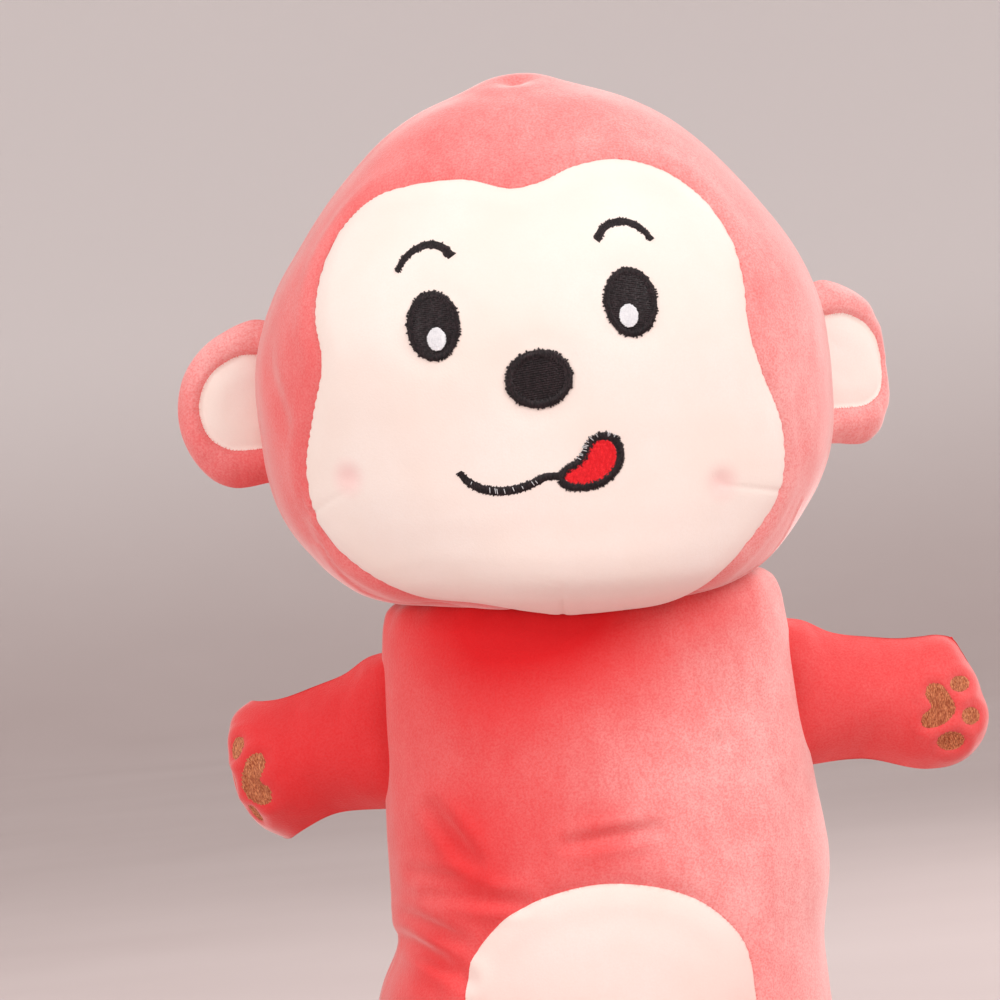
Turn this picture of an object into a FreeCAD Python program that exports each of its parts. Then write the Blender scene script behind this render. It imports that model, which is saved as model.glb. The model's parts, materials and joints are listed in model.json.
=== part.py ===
import FreeCAD, Part
import math
import os

# Stuffed monkey, sitting upright and facing -Y, with +X to the right of someone who looks at its face.
# The origin is the middle of the flat seat that it rests on.  Millimetres.
#
# Each stuffed body is one loft through ellipses, built about its own middle.  A slightly smaller copy of
# it is the stuffing, what lies between the two is the cloth, and a slightly larger copy holds the thread
# of the embroidery.  Outline prisms and planes then cut the cloth into its sewn panels.

doc = FreeCAD.newDocument("StuffedMonkey")
sheet = doc.addObject("Spreadsheet::Sheet", "sizes")

# ---------------------------------------------------------------- driving dimensions

SIZES = {
    # places of the bodies
    "head_x": -5.5,
    "head_y": -6.0,
    "head_height": 287.0,
    "torso_middle": 110.0,
    "neck_height": 180.0,
    "neck_half_width": 70.5,
    "neck_half_depth": 50.0,
    "neck_gap": 0.8,
    "arm_height": 160.0,
    "arm_hinge_x": 82.0,
    "arm_middle": 25.0,
    "arm_yaw_left": 36.0,
    "arm_yaw_right": 2.0,
    "ear_height": 273.0,
    "ear_hinge_out": 102.8,
    "ear_hinge_y": 4.0,
    "ear_middle": 12.0,
    "ear_yaw_left": 6.0,
    "ear_yaw_right": 34.0,
    "leg_hinge_x": 46.0,
    "leg_hinge_y": -56.5,
    "leg_hinge_height": 24.0,
    "leg_middle": 46.0,
    "leg_splay": 28.0,
    "tail_hinge_y": 66.5,
    "tail_height": 36.0,
    "tail_bend_radius": 45.0,
    "tail_bend": 70.0,
    # cloth and thread, as the size of the inner and outer copies of each body
    "head_depth_ratio": 0.79,
    "head_inner": 0.978,
    "head_thread": 1.011,
    "torso_inner": 0.978,
    "torso_thread": 1.012,
    "arm_inner": 0.9,
    "arm_thread": 1.05,
    "ear_inner": 0.84,
    "leg_inner": 0.93,
    "leg_thread": 1.03,
    "tail_inner": 0.84,
    # face, measured from the middle of the nose
    "nose_x": -2.5,
    "nose_drop": 12.0,
    "nose_half_width": 11.4,
    "nose_half_height": 9.5,
    "nose_tilt": 4.5,
    "eye_half_width": 8.7,
    "eye_half_height": 11.9,
    "eye_left_x": -33.5,
    "eye_left_up": 21.1,
    "eye_right_x": 33.0,
    "eye_right_up": 22.9,
    "glint_half_width": 3.1,
    "glint_half_height": 3.8,
    "glint_left_shift": 0.8,
    "glint_right_shift": -1.1,
    "glint_drop": 4.6,
    "line_width": 2.9,
    "brow_width": 2.6,
    # patches
    "belly_x": -3.2,
    "belly_height": 60.0,
    "lining_half_width": 11.0,
    "lining_half_height": 16.0,
    "lining_reach": 7.0,
    # trim
    "label_width": 16.0,
    "label_height": 26.0,
    "label_thick": 0.8,
    "label_low": 30.0,
    "stitch_length": 4.2,
    "stitch_width": 1.0,
    "stitch_pitch": 6.5,
    "stitch_low": 70.0,
    # longer than anything it has to cut, and wider than any body
    "room": 400.0,
    "largest_radius": 1000.0,
}

# Ellipses through which each body is lofted: distance along the body from its reference point, shift
# across it, half of the long axis and half of the short one.
HEAD_SECTIONS = [
    (-91.5, -20.0, 44.0, 34.8),
    (-87.0, -17.0, 60.0, 47.4),
    (-75.0, -8.0, 77.0, 60.8),
    (-55.0, -2.0, 91.3, 72.1),
    (-30.0, 0.0, 98.2, 77.6),
    (-2.0, 0.0, 98.3, 77.7),
    (23.0, 0.0, 91.1, 72.0),
    (47.0, 1.0, 76.4, 60.4),
    (71.0, 2.0, 54.9, 43.4),
    (83.0, 2.0, 36.7, 29.0),
    (92.5, 2.0, 12.0, 9.5),
]
TORSO_SECTIONS = [
    (0.0, 0.0, 63.5, 45.0),
    (5.0, 0.0, 72.0, 52.0),
    (16.0, 0.0, 78.0, 56.0),
    (38.0, 0.0, 80.0, 57.5),
    (62.0, 0.0, 79.0, 57.0),
    (95.0, 0.0, 76.5, 54.5),
    (130.0, 0.0, 74.5, 52.5),
    (158.0, 0.0, 72.5, 51.0),
]
DOME_ANGLES = [0.0, 20.0, 40.0, 58.0, 72.0, 84.0]
ARM_SECTIONS = [
    (-5.0, -1.0, 23.0, 4.6),
    (0.0, -1.5, 23.5, 7.0),
    (12.0, -4.0, 22.2, 12.5),
    (28.0, -7.2, 22.3, 15.5),
    (41.0, -9.3, 20.8, 15.0),
    (48.0, -11.8, 15.5, 11.0),
    (53.0, -13.8, 8.0, 5.5),
]
EAR_SECTIONS = [
    (-1.5, 0.0, 20.8, 2.2),
    (0.0, 0.0, 22.0, 3.5),
    (8.0, 0.0, 29.5, 7.0),
    (16.0, 0.0, 27.5, 8.0),
    (22.0, 0.0, 20.0, 6.5),
    (25.0, 0.0, 11.0, 4.0),
]
LEG_SECTIONS = [
    (-6.0, 0.0, 23.0, 5.2),
    (0.0, 0.0, 25.0, 8.0),
    (14.0, 1.0, 27.5, 16.5),
    (34.0, 3.0, 29.0, 25.0),
    (58.0, 4.4, 29.0, 28.0),
    (76.0, 5.0, 28.5, 28.0),
    (86.0, 5.0, 23.5, 22.5),
    (90.0, 5.0, 16.0, 15.0),
]
# along the bend, as a share of it, and the radius there
TAIL_SECTIONS = [(-0.1, 4.5), (0.0, 6.8), (0.25, 7.6), (0.55, 8.2), (0.8, 8.4), (0.94, 6.4), (1.0, 3.4)]

# Outlines in the plane of the face, x and height, each a smooth curve through its points.
FACE_OUTLINE = [
    (-1.9, 65.9), (-18.7, 70.7), (-34.6, 71.0), (-49.6, 68.3), (-62.6, 58.5), (-70.5, 44.5),
    (-74.0, 28.5), (-73.0, 12.5), (-77.6, -3.9), (-82.0, -24.2), (-78.3, -43.8), (-65.1, -59.4),
    (-46.9, -69.5), (-27.7, -72.8), (-8.7, -77.0), (10.4, -80.5), (30.5, -80.0), (50.6, -73.4),
    (67.0, -60.5), (79.1, -43.8), (81.4, -23.3), (75.8, -3.5), (72.6, 12.3), (72.7, 27.3),
    (69.8, 43.2), (61.9, 57.2), (49.9, 67.6), (34.9, 72.9), (19.0, 71.7), (6.1, 67.0),
]
BROWS = {
    "left": [(-44.0, 40.8), (-40.7, 45.4), (-36.4, 48.0), (-31.8, 48.8), (-27.9, 47.2), (-25.3, 44.1)],
    "right": [(23.8, 44.9), (26.5, 48.7), (31.2, 50.5), (36.2, 49.5), (40.0, 46.4), (42.2, 43.4)],
}
MOUTH_LINE = [
    (-29.4, -28.6), (-27.3, -31.4), (-23.2, -34.4), (-17.4, -36.0), (-11.5, -36.0), (-5.5, -34.6),
    (-0.9, -32.8), (3.6, -32.8),
]
TONGUE_OUTLINE = [
    (4.0, -34.2), (6.2, -36.4), (10.5, -37.3), (15.0, -37.0), (19.6, -35.2), (23.1, -31.9),
    (24.8, -27.4), (24.2, -23.7), (21.3, -21.2), (18.0, -21.2), (15.2, -22.8), (13.2, -26.0),
    (11.0, -28.7), (7.5, -30.6), (5.1, -31.9),
]
# The belly patch's right half, from its middle: x and height.
BELLY_OUTLINE = [
    (0.0, 43.2), (14.0, 41.6), (24.5, 38.6), (34.0, 33.8), (42.0, 26.5), (47.3, 18.5), (49.4, 8.0),
    (49.6, -3.0), (48.0, -15.0), (43.0, -27.0), (33.0, -37.0), (18.0, -42.5), (0.0, -44.0),
]
# The same lopsided heart serves every paw: it points to +X.
HEART_OUTLINE = [
    (5.6, -2.2), (4.0, 3.4), (1.0, 7.3), (-2.5, 7.6), (-4.3, 4.4), (-2.8, -0.4), (-6.2, -3.4),
    (-6.2, -6.9), (-2.2, -7.6), (2.6, -5.8),
]
HAND_HEART = (37.0, -8.7)
HAND_TOES = [(45.2, -2.2, 3.6, 2.8), (48.0, -13.6, 3.3, 3.1), (40.2, -21.5, 4.8, 3.3)]
SOLE_HEART = (-3.5, 0.0)
SOLE_TOES = [(10.5, -9.5, 3.4, 3.0), (13.6, 0.0, 3.6, 3.2), (10.5, 9.5, 3.4, 3.0)]
STITCHES = 9


def fill_sheet():
    """Write every driving dimension to the sheet, with its name as the alias."""
    rows = dict(SIZES)
    for name, sections in (
        ("head", HEAD_SECTIONS),
        ("torso", TORSO_SECTIONS),
        ("arm", ARM_SECTIONS),
        ("ear", EAR_SECTIONS),
        ("leg", LEG_SECTIONS),
    ):
        for i, (along, across, half_long, half_short) in enumerate(sections):
            rows[f"{name}_along_{i}"] = along
            rows[f"{name}_across_{i}"] = across
            rows[f"{name}_long_{i}"] = half_long
            rows[f"{name}_short_{i}"] = half_short
    for i, (share, radius) in enumerate(TAIL_SECTIONS):
        rows[f"tail_share_{i}"] = share
        rows[f"tail_radius_{i}"] = radius
    for row, (alias, value) in enumerate(rows.items(), start=1):
        sheet.set(f"A{row}", alias)
        sheet.set(f"B{row}", str(value))
        sheet.setAlias(f"B{row}", alias)
    doc.recompute()


def size(alias):
    return float(sheet.get(alias))


def vector(x, y, z):
    return FreeCAD.Vector(x, y, z)


def placed(x=0.0, y=0.0, z=0.0, rotation=None):
    return FreeCAD.Placement(vector(x, y, z), rotation or FreeCAD.Rotation())


def axes(x_axis, y_axis, z_axis):
    """The rotation that turns X, Y and Z to these three directions."""
    return FreeCAD.Rotation(vector(*x_axis), vector(*y_axis), vector(*z_axis), "XYZ")


# ---------------------------------------------------------------- shapes every body uses

LEVEL = FreeCAD.Rotation()
UPRIGHT = axes((0, 0, 1), (0, -1, 0), (1, 0, 0))
FRONTAL = axes((1, 0, 0), (0, 0, 1), (0, -1, 0))
SIDEWAYS = axes((0, 1, 0), (0, 0, 1), (1, 0, 0))
QUARTER_TURN = 90.0


def ellipse(name, half_long, half_short, placement):
    """An ellipse whose two radii are expressions on the sheet, long axis first."""
    obj = doc.addObject("Part::Ellipse", name)
    obj.MajorRadius = size("largest_radius")
    obj.setExpression("MinorRadius", half_short)
    obj.setExpression("MajorRadius", half_long)
    obj.Placement = placement
    return obj


def loft(name, ellipses):
    obj = doc.addObject("Part::Loft", name)
    obj.Sections = ellipses
    obj.Solid = True
    obj.Ruled = False
    return obj


def copy_at_scale(name, base, alias):
    obj = doc.addObject("Part::Scale", name)
    obj.Base = base
    obj.Uniform = True
    obj.setExpression("UniformScale", f"sizes.{alias}")
    return obj


def cut(name, base, tool):
    obj = doc.addObject("Part::Cut", name)
    obj.Base = base
    obj.Tool = tool
    return obj


def common(name, base, tool):
    obj = doc.addObject("Part::Common", name)
    obj.Base = base
    obj.Tool = tool
    return obj


def fuse(name, shapes):
    obj = doc.addObject("Part::MultiFuse", name)
    obj.Shapes = shapes
    return obj


def room(name, x_side=0, y_side=0, z_side=0, offset=0.0):
    """A box that fills one side of a plane through the body's middle, or one quarter or eighth."""
    obj = doc.addObject("Part::Box", name)
    low = []
    for side, length in ((x_side, "Length"), (y_side, "Width"), (z_side, "Height")):
        obj.setExpression(length, "sizes.room" if side else "sizes.room * 2")
        low.append(0.0 if side > 0 else -size("room"))
    obj.Placement = placed(*low)
    if z_side:
        obj.Placement.Base.z += offset
    return obj


def prism(name, outline, direction):
    """An outline pushed along a direction, from the body's middle plane to well outside it."""
    obj = doc.addObject("Part::Extrusion", name)
    obj.Base = outline
    obj.DirMode = "Custom"
    obj.Dir = vector(*direction)
    obj.setExpression("LengthFwd", "sizes.room / 2")
    obj.Solid = True
    obj.FaceMakerClass = "Part::FaceMakerBullseye"
    return obj


def closed_curve(name, points, placement):
    """A smooth closed outline through points that are given in the XY plane and then placed."""
    curve = Part.BSplineCurve()
    curve.interpolate([vector(x, y, 0) for x, y in points], PeriodicFlag=True)
    obj = doc.addObject("Part::Feature", name)
    obj.Shape = Part.Wire([curve.toShape()])
    obj.Placement = placement
    return obj


def ribbon(name, points, width, placement):
    """The outline of a line of stitches: a smooth curve with this width and square ends."""
    middle = Part.BSplineCurve()
    middle.interpolate([vector(x, y, 0) for x, y in points])
    first, last = middle.FirstParameter, middle.LastParameter
    sides = []
    for sign in (1, -1):
        edge_points = []
        for i in range(len(points) * 2):
            u = first + (last - first) * i / (len(points) * 2 - 1)
            along = middle.tangent(u)[0]
            normal = vector(-along.y, along.x, 0)
            edge_points.append(middle.value(u) + normal * (sign * width / 2))
        edge = Part.BSplineCurve()
        edge.interpolate(edge_points)
        sides.append(edge)
    left, right = sides
    start = Part.LineSegment(left.StartPoint, right.StartPoint)
    end = Part.LineSegment(right.EndPoint, left.EndPoint)
    obj = doc.addObject("Part::Feature", name)
    obj.Shape = Part.Wire([start.toShape(), right.toShape(), end.toShape(), left.toShape()])
    obj.Placement = placement
    return obj


def mirrored_placement(placement):
    """The same place on the other side of the plane X = 0."""
    base = placement.Base
    turn = placement.Rotation
    axis = turn.Axis
    mirrored = FreeCAD.Rotation(vector(axis.x, -axis.y, -axis.z), math.degrees(turn.Angle))
    return FreeCAD.Placement(vector(-base.x, base.y, base.z), mirrored)


pieces = []


def piece(label, obj, placement):
    """Name a finished sub-part and put it where it belongs."""
    obj.Label = label
    obj.Placement = placement
    pieces.append(obj)
    return obj


def mirrored_piece(label, source, placement):
    obj = doc.addObject("Part::Mirroring", f"{label}_shape")
    obj.Source = source
    obj.Base = vector(0, 0, 0)
    obj.Normal = vector(1, 0, 0)
    return piece(label, obj, placement)


def lofted_body(name, count, place_section):
    ellipses = []
    for i in range(count):
        place = place_section(size(f"{name}_along_{i}"), size(f"{name}_across_{i}"))
        radii = f"sizes.{name}_long_{i}", f"sizes.{name}_short_{i}"
        ellipses.append(ellipse(f"{name}_section_{i}", *radii, place))
    return loft(f"{name}_body", ellipses)


def cloth_and_stuffing(name, body, has_thread):
    """The stuffing, the cloth around it and, where it is embroidered, the layer that the thread fills."""
    stuffing = copy_at_scale(f"{name}_inside", body, f"{name}_inner")
    cloth = cut(f"{name}_cloth", body, stuffing)
    if not has_thread:
        return stuffing, cloth, None
    raised = copy_at_scale(f"{name}_raised", body, f"{name}_thread")
    return stuffing, cloth, cut(f"{name}_thread_layer", raised, body)


# ---------------------------------------------------------------- head

def build_head():
    middle = placed(size("head_x"), size("head_y"), size("head_height"))

    def section(along, across):
        return placed(0, across, along, LEVEL)

    body = lofted_body("head", len(HEAD_SECTIONS), section)
    stuffing, cloth, thread = cloth_and_stuffing("head", body, True)

    # The hollow under the head fits round the dome of the torso and lets the head nod.
    socket = doc.addObject("Part::Ellipsoid", "neck_socket")
    socket.setExpression("Radius2", "sizes.neck_half_width + sizes.neck_gap")
    socket.setExpression("Radius1", "sizes.neck_half_depth + sizes.neck_gap")
    socket.setExpression("Radius3", "sizes.neck_half_depth + sizes.neck_gap")
    socket.Placement = placed(-size("head_x"), -size("head_y"), size("neck_height") - size("head_height"))
    piece("head_stuffing", cut("head_stuffing_shape", stuffing, socket), middle)
    shell = cut("head_shell", cloth, socket)

    def on_face(x=0.0, height=0.0, turn=0.0):
        """A place in the plane of the face, from the middle of the nose."""
        tilt = FreeCAD.Rotation(vector(0, 0, 1), turn)
        return placed(size("nose_x") + x, 0, height - size("nose_drop"), FRONTAL * tilt)

    forward = (0, -1, 0)
    face = prism("face_prism", closed_curve("face_outline", FACE_OUTLINE, on_face()), forward)
    piece("face_panel", common("face_shape", shell, face), middle)
    front = common("head_front_half", shell, room("head_front_room", y_side=-1))
    piece("head_front_panel", cut("head_front_shape", front, face), middle)
    for side, x_side in (("left", -1), ("right", 1)):
        quarter = room(f"head_back_room_{side}", x_side=x_side, y_side=1)
        piece(f"head_back_{side}", common(f"head_back_shape_{side}", shell, quarter), middle)

    tilted = on_face(turn=size("nose_tilt"))
    nose_outline = ellipse("nose_outline", "sizes.nose_half_width", "sizes.nose_half_height", tilted)
    piece("nose", common("nose_shape", thread, prism("nose_prism", nose_outline, forward)), middle)

    def tall_ellipse(name, kind, x, height):
        radii = f"sizes.{kind}_half_height", f"sizes.{kind}_half_width"
        outline = ellipse(f"{name}_outline", *radii, on_face(x, height, QUARTER_TURN))
        return prism(f"{name}_prism", outline, forward)

    for side in ("left", "right"):
        x = size(f"eye_{side}_x")
        height = size(f"eye_{side}_up")
        eye_prism = tall_ellipse(f"eye_{side}", "eye", x, height)
        glint_x = x + size(f"glint_{side}_shift")
        glint = tall_ellipse(f"glint_{side}", "glint", glint_x, height - size("glint_drop"))
        eye = common(f"eye_whole_{side}", thread, eye_prism)
        piece(f"eye_{side}", cut(f"eye_shape_{side}", eye, glint), middle)
        piece(f"eye_highlight_{side}", common(f"glint_shape_{side}", thread, glint), middle)
        brow_outline = ribbon(f"brow_outline_{side}", BROWS[side], size("brow_width"), on_face())
        brow_prism = prism(f"brow_prism_{side}", brow_outline, forward)
        piece(f"brow_{side}", common(f"brow_shape_{side}", thread, brow_prism), middle)

    # The tongue's black edge is one with the line of the mouth; its red filling is a piece of its own.
    centre_x = sum(x for x, _ in TONGUE_OUTLINE) / len(TONGUE_OUTLINE)
    centre_z = sum(z for _, z in TONGUE_OUTLINE) / len(TONGUE_OUTLINE)

    def grown(distance):
        points = []
        for x, z in TONGUE_OUTLINE:
            reach = math.hypot(x - centre_x, z - centre_z)
            share = (reach + distance) / reach
            points.append((centre_x + (x - centre_x) * share, centre_z + (z - centre_z) * share))
        return points

    half_line = size("line_width") / 2
    inner = prism("tongue_prism", closed_curve("tongue_inner", grown(-half_line), on_face()), forward)
    outer = prism("tongue_edge_prism", closed_curve("tongue_outer", grown(half_line), on_face()), forward)
    line = prism("mouth_prism", ribbon("mouth_outline", MOUTH_LINE, size("line_width"), on_face()), forward)
    mouth = common("mouth_whole", thread, fuse("mouth_prisms", [line, outer]))
    piece("mouth", cut("mouth_shape", mouth, inner), middle)
    piece("tongue", common("tongue_shape", thread, inner), middle)


# ---------------------------------------------------------------- ears

def build_ears():
    def section(along, across):
        return placed(along - size("ear_middle"), 0, across, UPRIGHT)

    body = lofted_body("ear", len(EAR_SECTIONS), section)
    stuffing, cloth, _ = cloth_and_stuffing("ear", body, False)
    upright = FRONTAL * FreeCAD.Rotation(vector(0, 0, 1), QUARTER_TURN)
    lining_place = placed(size("lining_reach") - size("ear_middle"), 0, 0, upright)
    outline = ellipse("lining_outline", "sizes.lining_half_height", "sizes.lining_half_width", lining_place)
    lining_prism = prism("lining_prism", outline, (0, -1, 0))
    front = common("ear_front_half", cloth, room("ear_front_room", y_side=-1))
    shapes = {
        "stuffing": stuffing,
        "lining": common("ear_lining_shape", front, lining_prism),
        "front": cut("ear_front_shape", front, lining_prism),
        "back": common("ear_back_shape", cloth, room("ear_back_room", y_side=1)),
    }
    for side, sign in (("left", -1), ("right", 1)):
        turn = FreeCAD.Rotation(vector(0, 0, 1), size(f"ear_yaw_{side}"))
        hinge = placed(
            sign * size("head_x") + size("ear_hinge_out"),
            size("head_y") + size("ear_hinge_y"),
            size("ear_height"),
            turn,
        )
        place_limb("ear", side, hinge, shapes)


def place_limb(name, side, hinge, shapes):
    """Hang the pieces of one limb on its hinge; the left limb is the right one mirrored."""
    place = hinge * placed(size(f"{name}_middle"))
    for part, shape in shapes.items():
        label = f"{name}_{side}_{part}"
        if side == "left":
            mirrored_piece(label, shape, mirrored_placement(place))
        else:
            twin = doc.addObject("Part::Compound", f"{label}_shape")
            twin.Links = [shape]
            piece(label, twin, place)


# ---------------------------------------------------------------- arms and legs

def paw_prisms(name, heart, toes, place, direction):
    """The prisms of one paw's embroidery: the heart-shaped pad, and its three toes together."""
    outline = closed_curve(f"{name}_heart_outline", HEART_OUTLINE, place(*heart))
    pad = prism(f"{name}_heart_prism", outline, direction)
    toe_prisms = []
    for i, (along, across, half_long, half_short) in enumerate(toes):
        toe = doc.addObject("Part::Ellipse", f"{name}_toe_{i}")
        toe.MajorRadius = half_long
        toe.MinorRadius = half_short
        toe.Placement = place(along, across)
        toe_prisms.append(prism(f"{name}_toe_prism_{i}", toe, direction))
    return pad, fuse(f"{name}_toe_prisms", toe_prisms)


def build_arms():
    middle = size("arm_middle")

    def section(along, across):
        return placed(along - middle, 0, across, UPRIGHT)

    def on_front(along, across):
        return placed(along - middle, 0, across, FRONTAL)

    body = lofted_body("arm", len(ARM_SECTIONS), section)
    stuffing, cloth, thread = cloth_and_stuffing("arm", body, True)
    pad, toes = paw_prisms("hand", HAND_HEART, HAND_TOES, on_front, (0, -1, 0))
    shapes = {
        "stuffing": stuffing,
        "front": common("arm_front_shape", cloth, room("arm_front_room", y_side=-1)),
        "back": common("arm_back_shape", cloth, room("arm_back_room", y_side=1)),
        "pad": common("arm_pad_shape", thread, pad),
        "toes": common("arm_toes_shape", thread, toes),
    }
    for side in ("left", "right"):
        turn = FreeCAD.Rotation(vector(0, 0, 1), size(f"arm_yaw_{side}"))
        hinge = placed(size("arm_hinge_x"), 0, size("arm_height"), turn)
        place_limb("arm", side, hinge, shapes)


def build_legs():
    middle = size("leg_middle")
    rise = size(f"leg_across_{len(LEG_SECTIONS) - 1}")

    def section(along, across):
        # the long axis lies along the hinge and the short one stands up
        return placed(along - middle, across, 0, UPRIGHT)

    def on_sole(up, sideways):
        return placed(0, rise + up, sideways, SIDEWAYS)

    body = lofted_body("leg", len(LEG_SECTIONS), section)
    stuffing, cloth, thread = cloth_and_stuffing("leg", body, True)
    pad, toes = paw_prisms("foot", SOLE_HEART, SOLE_TOES, on_sole, (1, 0, 0))
    shapes = {
        "stuffing": stuffing,
        "upper": common("leg_upper_shape", cloth, room("leg_upper_room", y_side=1)),
        "lower": common("leg_lower_shape", cloth, room("leg_lower_room", y_side=-1)),
        "pad": common("leg_pad_shape", thread, pad),
        "toes": common("leg_toes_shape", thread, toes),
    }
    splay = math.radians(size("leg_splay"))
    out = (math.sin(splay), -math.cos(splay), 0)
    turn = axes(out, (0, 0, 1), (-math.cos(splay), -math.sin(splay), 0))
    for side in ("left", "right"):
        hinge = placed(size("leg_hinge_x"), size("leg_hinge_y"), size("leg_hinge_height"), turn)
        place_limb("leg", side, hinge, shapes)


# ---------------------------------------------------------------- torso and tail

def build_torso():
    middle_height = size("torso_middle")
    middle = placed(0, 0, middle_height)
    ellipses = []
    for i in range(len(TORSO_SECTIONS)):
        place = placed(0, size(f"torso_across_{i}"), size(f"torso_along_{i}") - middle_height)
        radii = f"sizes.torso_long_{i}", f"sizes.torso_short_{i}"
        ellipses.append(ellipse(f"torso_section_{i}", *radii, place))
    # the dome that the head sits on is half an ellipsoid
    for i, degrees in enumerate(DOME_ANGLES):
        rise = size("neck_half_depth") * math.sin(math.radians(degrees))
        place = placed(0, 0, size("neck_height") + rise - middle_height)
        half_long = f"sizes.neck_half_width * cos({degrees} deg)"
        half_short = f"sizes.neck_half_depth * cos({degrees} deg)"
        ellipses.append(ellipse(f"dome_section_{i}", half_long, half_short, place))
    body = loft("torso_body", ellipses)
    stuffing, cloth, thread = cloth_and_stuffing("torso", body, True)
    twin = doc.addObject("Part::Compound", "torso_stuffing_shape")
    twin.Links = [stuffing]
    piece("torso_stuffing", twin, middle)

    seat_top = -middle_height * size("torso_inner")
    lowest = room("seat_room", z_side=-1, offset=seat_top)
    piece("seat_panel", common("seat_shape", cloth, lowest), middle)
    upper = common("torso_upper", cloth, room("torso_room", z_side=1, offset=seat_top))
    other_half = [(-x, z) for x, z in reversed(BELLY_OUTLINE[1:-1])]
    belly_place = placed(size("belly_x"), 0, size("belly_height") - middle_height, FRONTAL)
    belly_outline = closed_curve("belly_outline", BELLY_OUTLINE + other_half, belly_place)
    belly = prism("belly_prism", belly_outline, (0, -1, 0))
    piece("belly_panel", common("belly_shape", upper, belly), middle)
    front = common("torso_front_half", upper, room("torso_front_room", y_side=-1))
    piece("torso_front_panel", cut("torso_front_shape", front, belly), middle)
    for side, x_side in (("left", -1), ("right", 1)):
        quarter = room(f"torso_back_room_{side}", x_side=x_side, y_side=1)
        piece(f"torso_back_{side}", common(f"torso_back_shape_{side}", upper, quarter), middle)

    # hand stitches that close the back seam after stuffing
    stitches = []
    for i in range(STITCHES):
        stitch = doc.addObject("Part::Box", f"stitch_{i}")
        stitch.setExpression("Length", "sizes.stitch_length")
        stitch.setExpression("Width", "sizes.room / 2")
        stitch.setExpression("Height", "sizes.stitch_width")
        height = size("stitch_low") + i * size("stitch_pitch") - middle_height
        stitch.Placement = placed(-size("stitch_length") / 2, 0, height)
        stitches.append(stitch)
    piece("closing_stitches", common("closing_shape", thread, fuse("stitch_row", stitches)), middle)


def build_label():
    """A blank care label, sewn into the left side seam and standing out from it."""
    label = doc.addObject("Part::Box", "care_label_shape")
    label.setExpression("Length", "sizes.label_width")
    label.setExpression("Width", "sizes.label_thick")
    label.setExpression("Height", "sizes.label_height")
    outside = max(size("torso_long_3"), size("torso_long_4"), size("torso_long_5")) + size("neck_gap")
    place = placed(-outside - size("label_width"), size("neck_gap"), size("label_low"))
    piece("care_label", label, place)


def build_tail():
    """A short stuffed tail that curls up behind; its sections follow an arc."""
    bend = math.radians(size("tail_bend"))
    radius = size("tail_bend_radius")
    half_way = vector(0, radius * math.sin(bend / 2), radius * (1 - math.cos(bend / 2)))
    ellipses = []
    for i in range(len(TAIL_SECTIONS)):
        angle = bend * size(f"tail_share_{i}")
        along = (0, math.cos(angle), math.sin(angle))
        up = (0, -math.sin(angle), math.cos(angle))
        middle = vector(0, radius * math.sin(angle), radius * (1 - math.cos(angle))) - half_way
        place = FreeCAD.Placement(middle, axes(up, (1, 0, 0), along))
        radius_cell = f"sizes.tail_radius_{i}"
        ellipses.append(ellipse(f"tail_section_{i}", radius_cell, radius_cell, place))
    body = loft("tail_body", ellipses)
    stuffing, cloth, _ = cloth_and_stuffing("tail", body, False)
    place = placed(half_way.x, size("tail_hinge_y") + half_way.y, size("tail_height") + half_way.z)
    twin = doc.addObject("Part::Compound", "tail_stuffing_shape")
    twin.Links = [stuffing]
    piece("tail_stuffing", twin, place)
    piece("tail_cover", cloth, place)


# ---------------------------------------------------------------- checks and files

def check_and_write():
    doc.recompute()
    for obj in doc.Objects:
        bad = {"Invalid", "Error"} & set(obj.State)
        if bad:
            raise RuntimeError(f"{obj.Name} is {', '.join(bad)}")
    for obj in pieces:
        if obj.Shape.isNull() or not obj.Shape.isValid() or not obj.Shape.Solids:
            raise RuntimeError(f"{obj.Label} has no valid solid")
    os.makedirs("parts", exist_ok=True)
    for obj in pieces:
        obj.Shape.exportStep(f"parts/{obj.Label}.step")
    print(f"{len(pieces)} pieces written")


fill_sheet()
build_head()
build_ears()
build_arms()
build_legs()
build_torso()
build_label()
build_tail()
check_and_write()
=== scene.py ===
"""Looks of the stuffed monkey: plush skins, embroidery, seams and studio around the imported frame.

Lengths in this file are millimetres until a mesh is made.  Each stuffed body is a fine surface in the
row frame, cut into its sewn panels along the zero lines of seam fields and pulled in along them.
"""

import json
import math

import bpy
import numpy as np
from mathutils import Matrix, Vector
from mathutils.bvhtree import BVHTree


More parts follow.
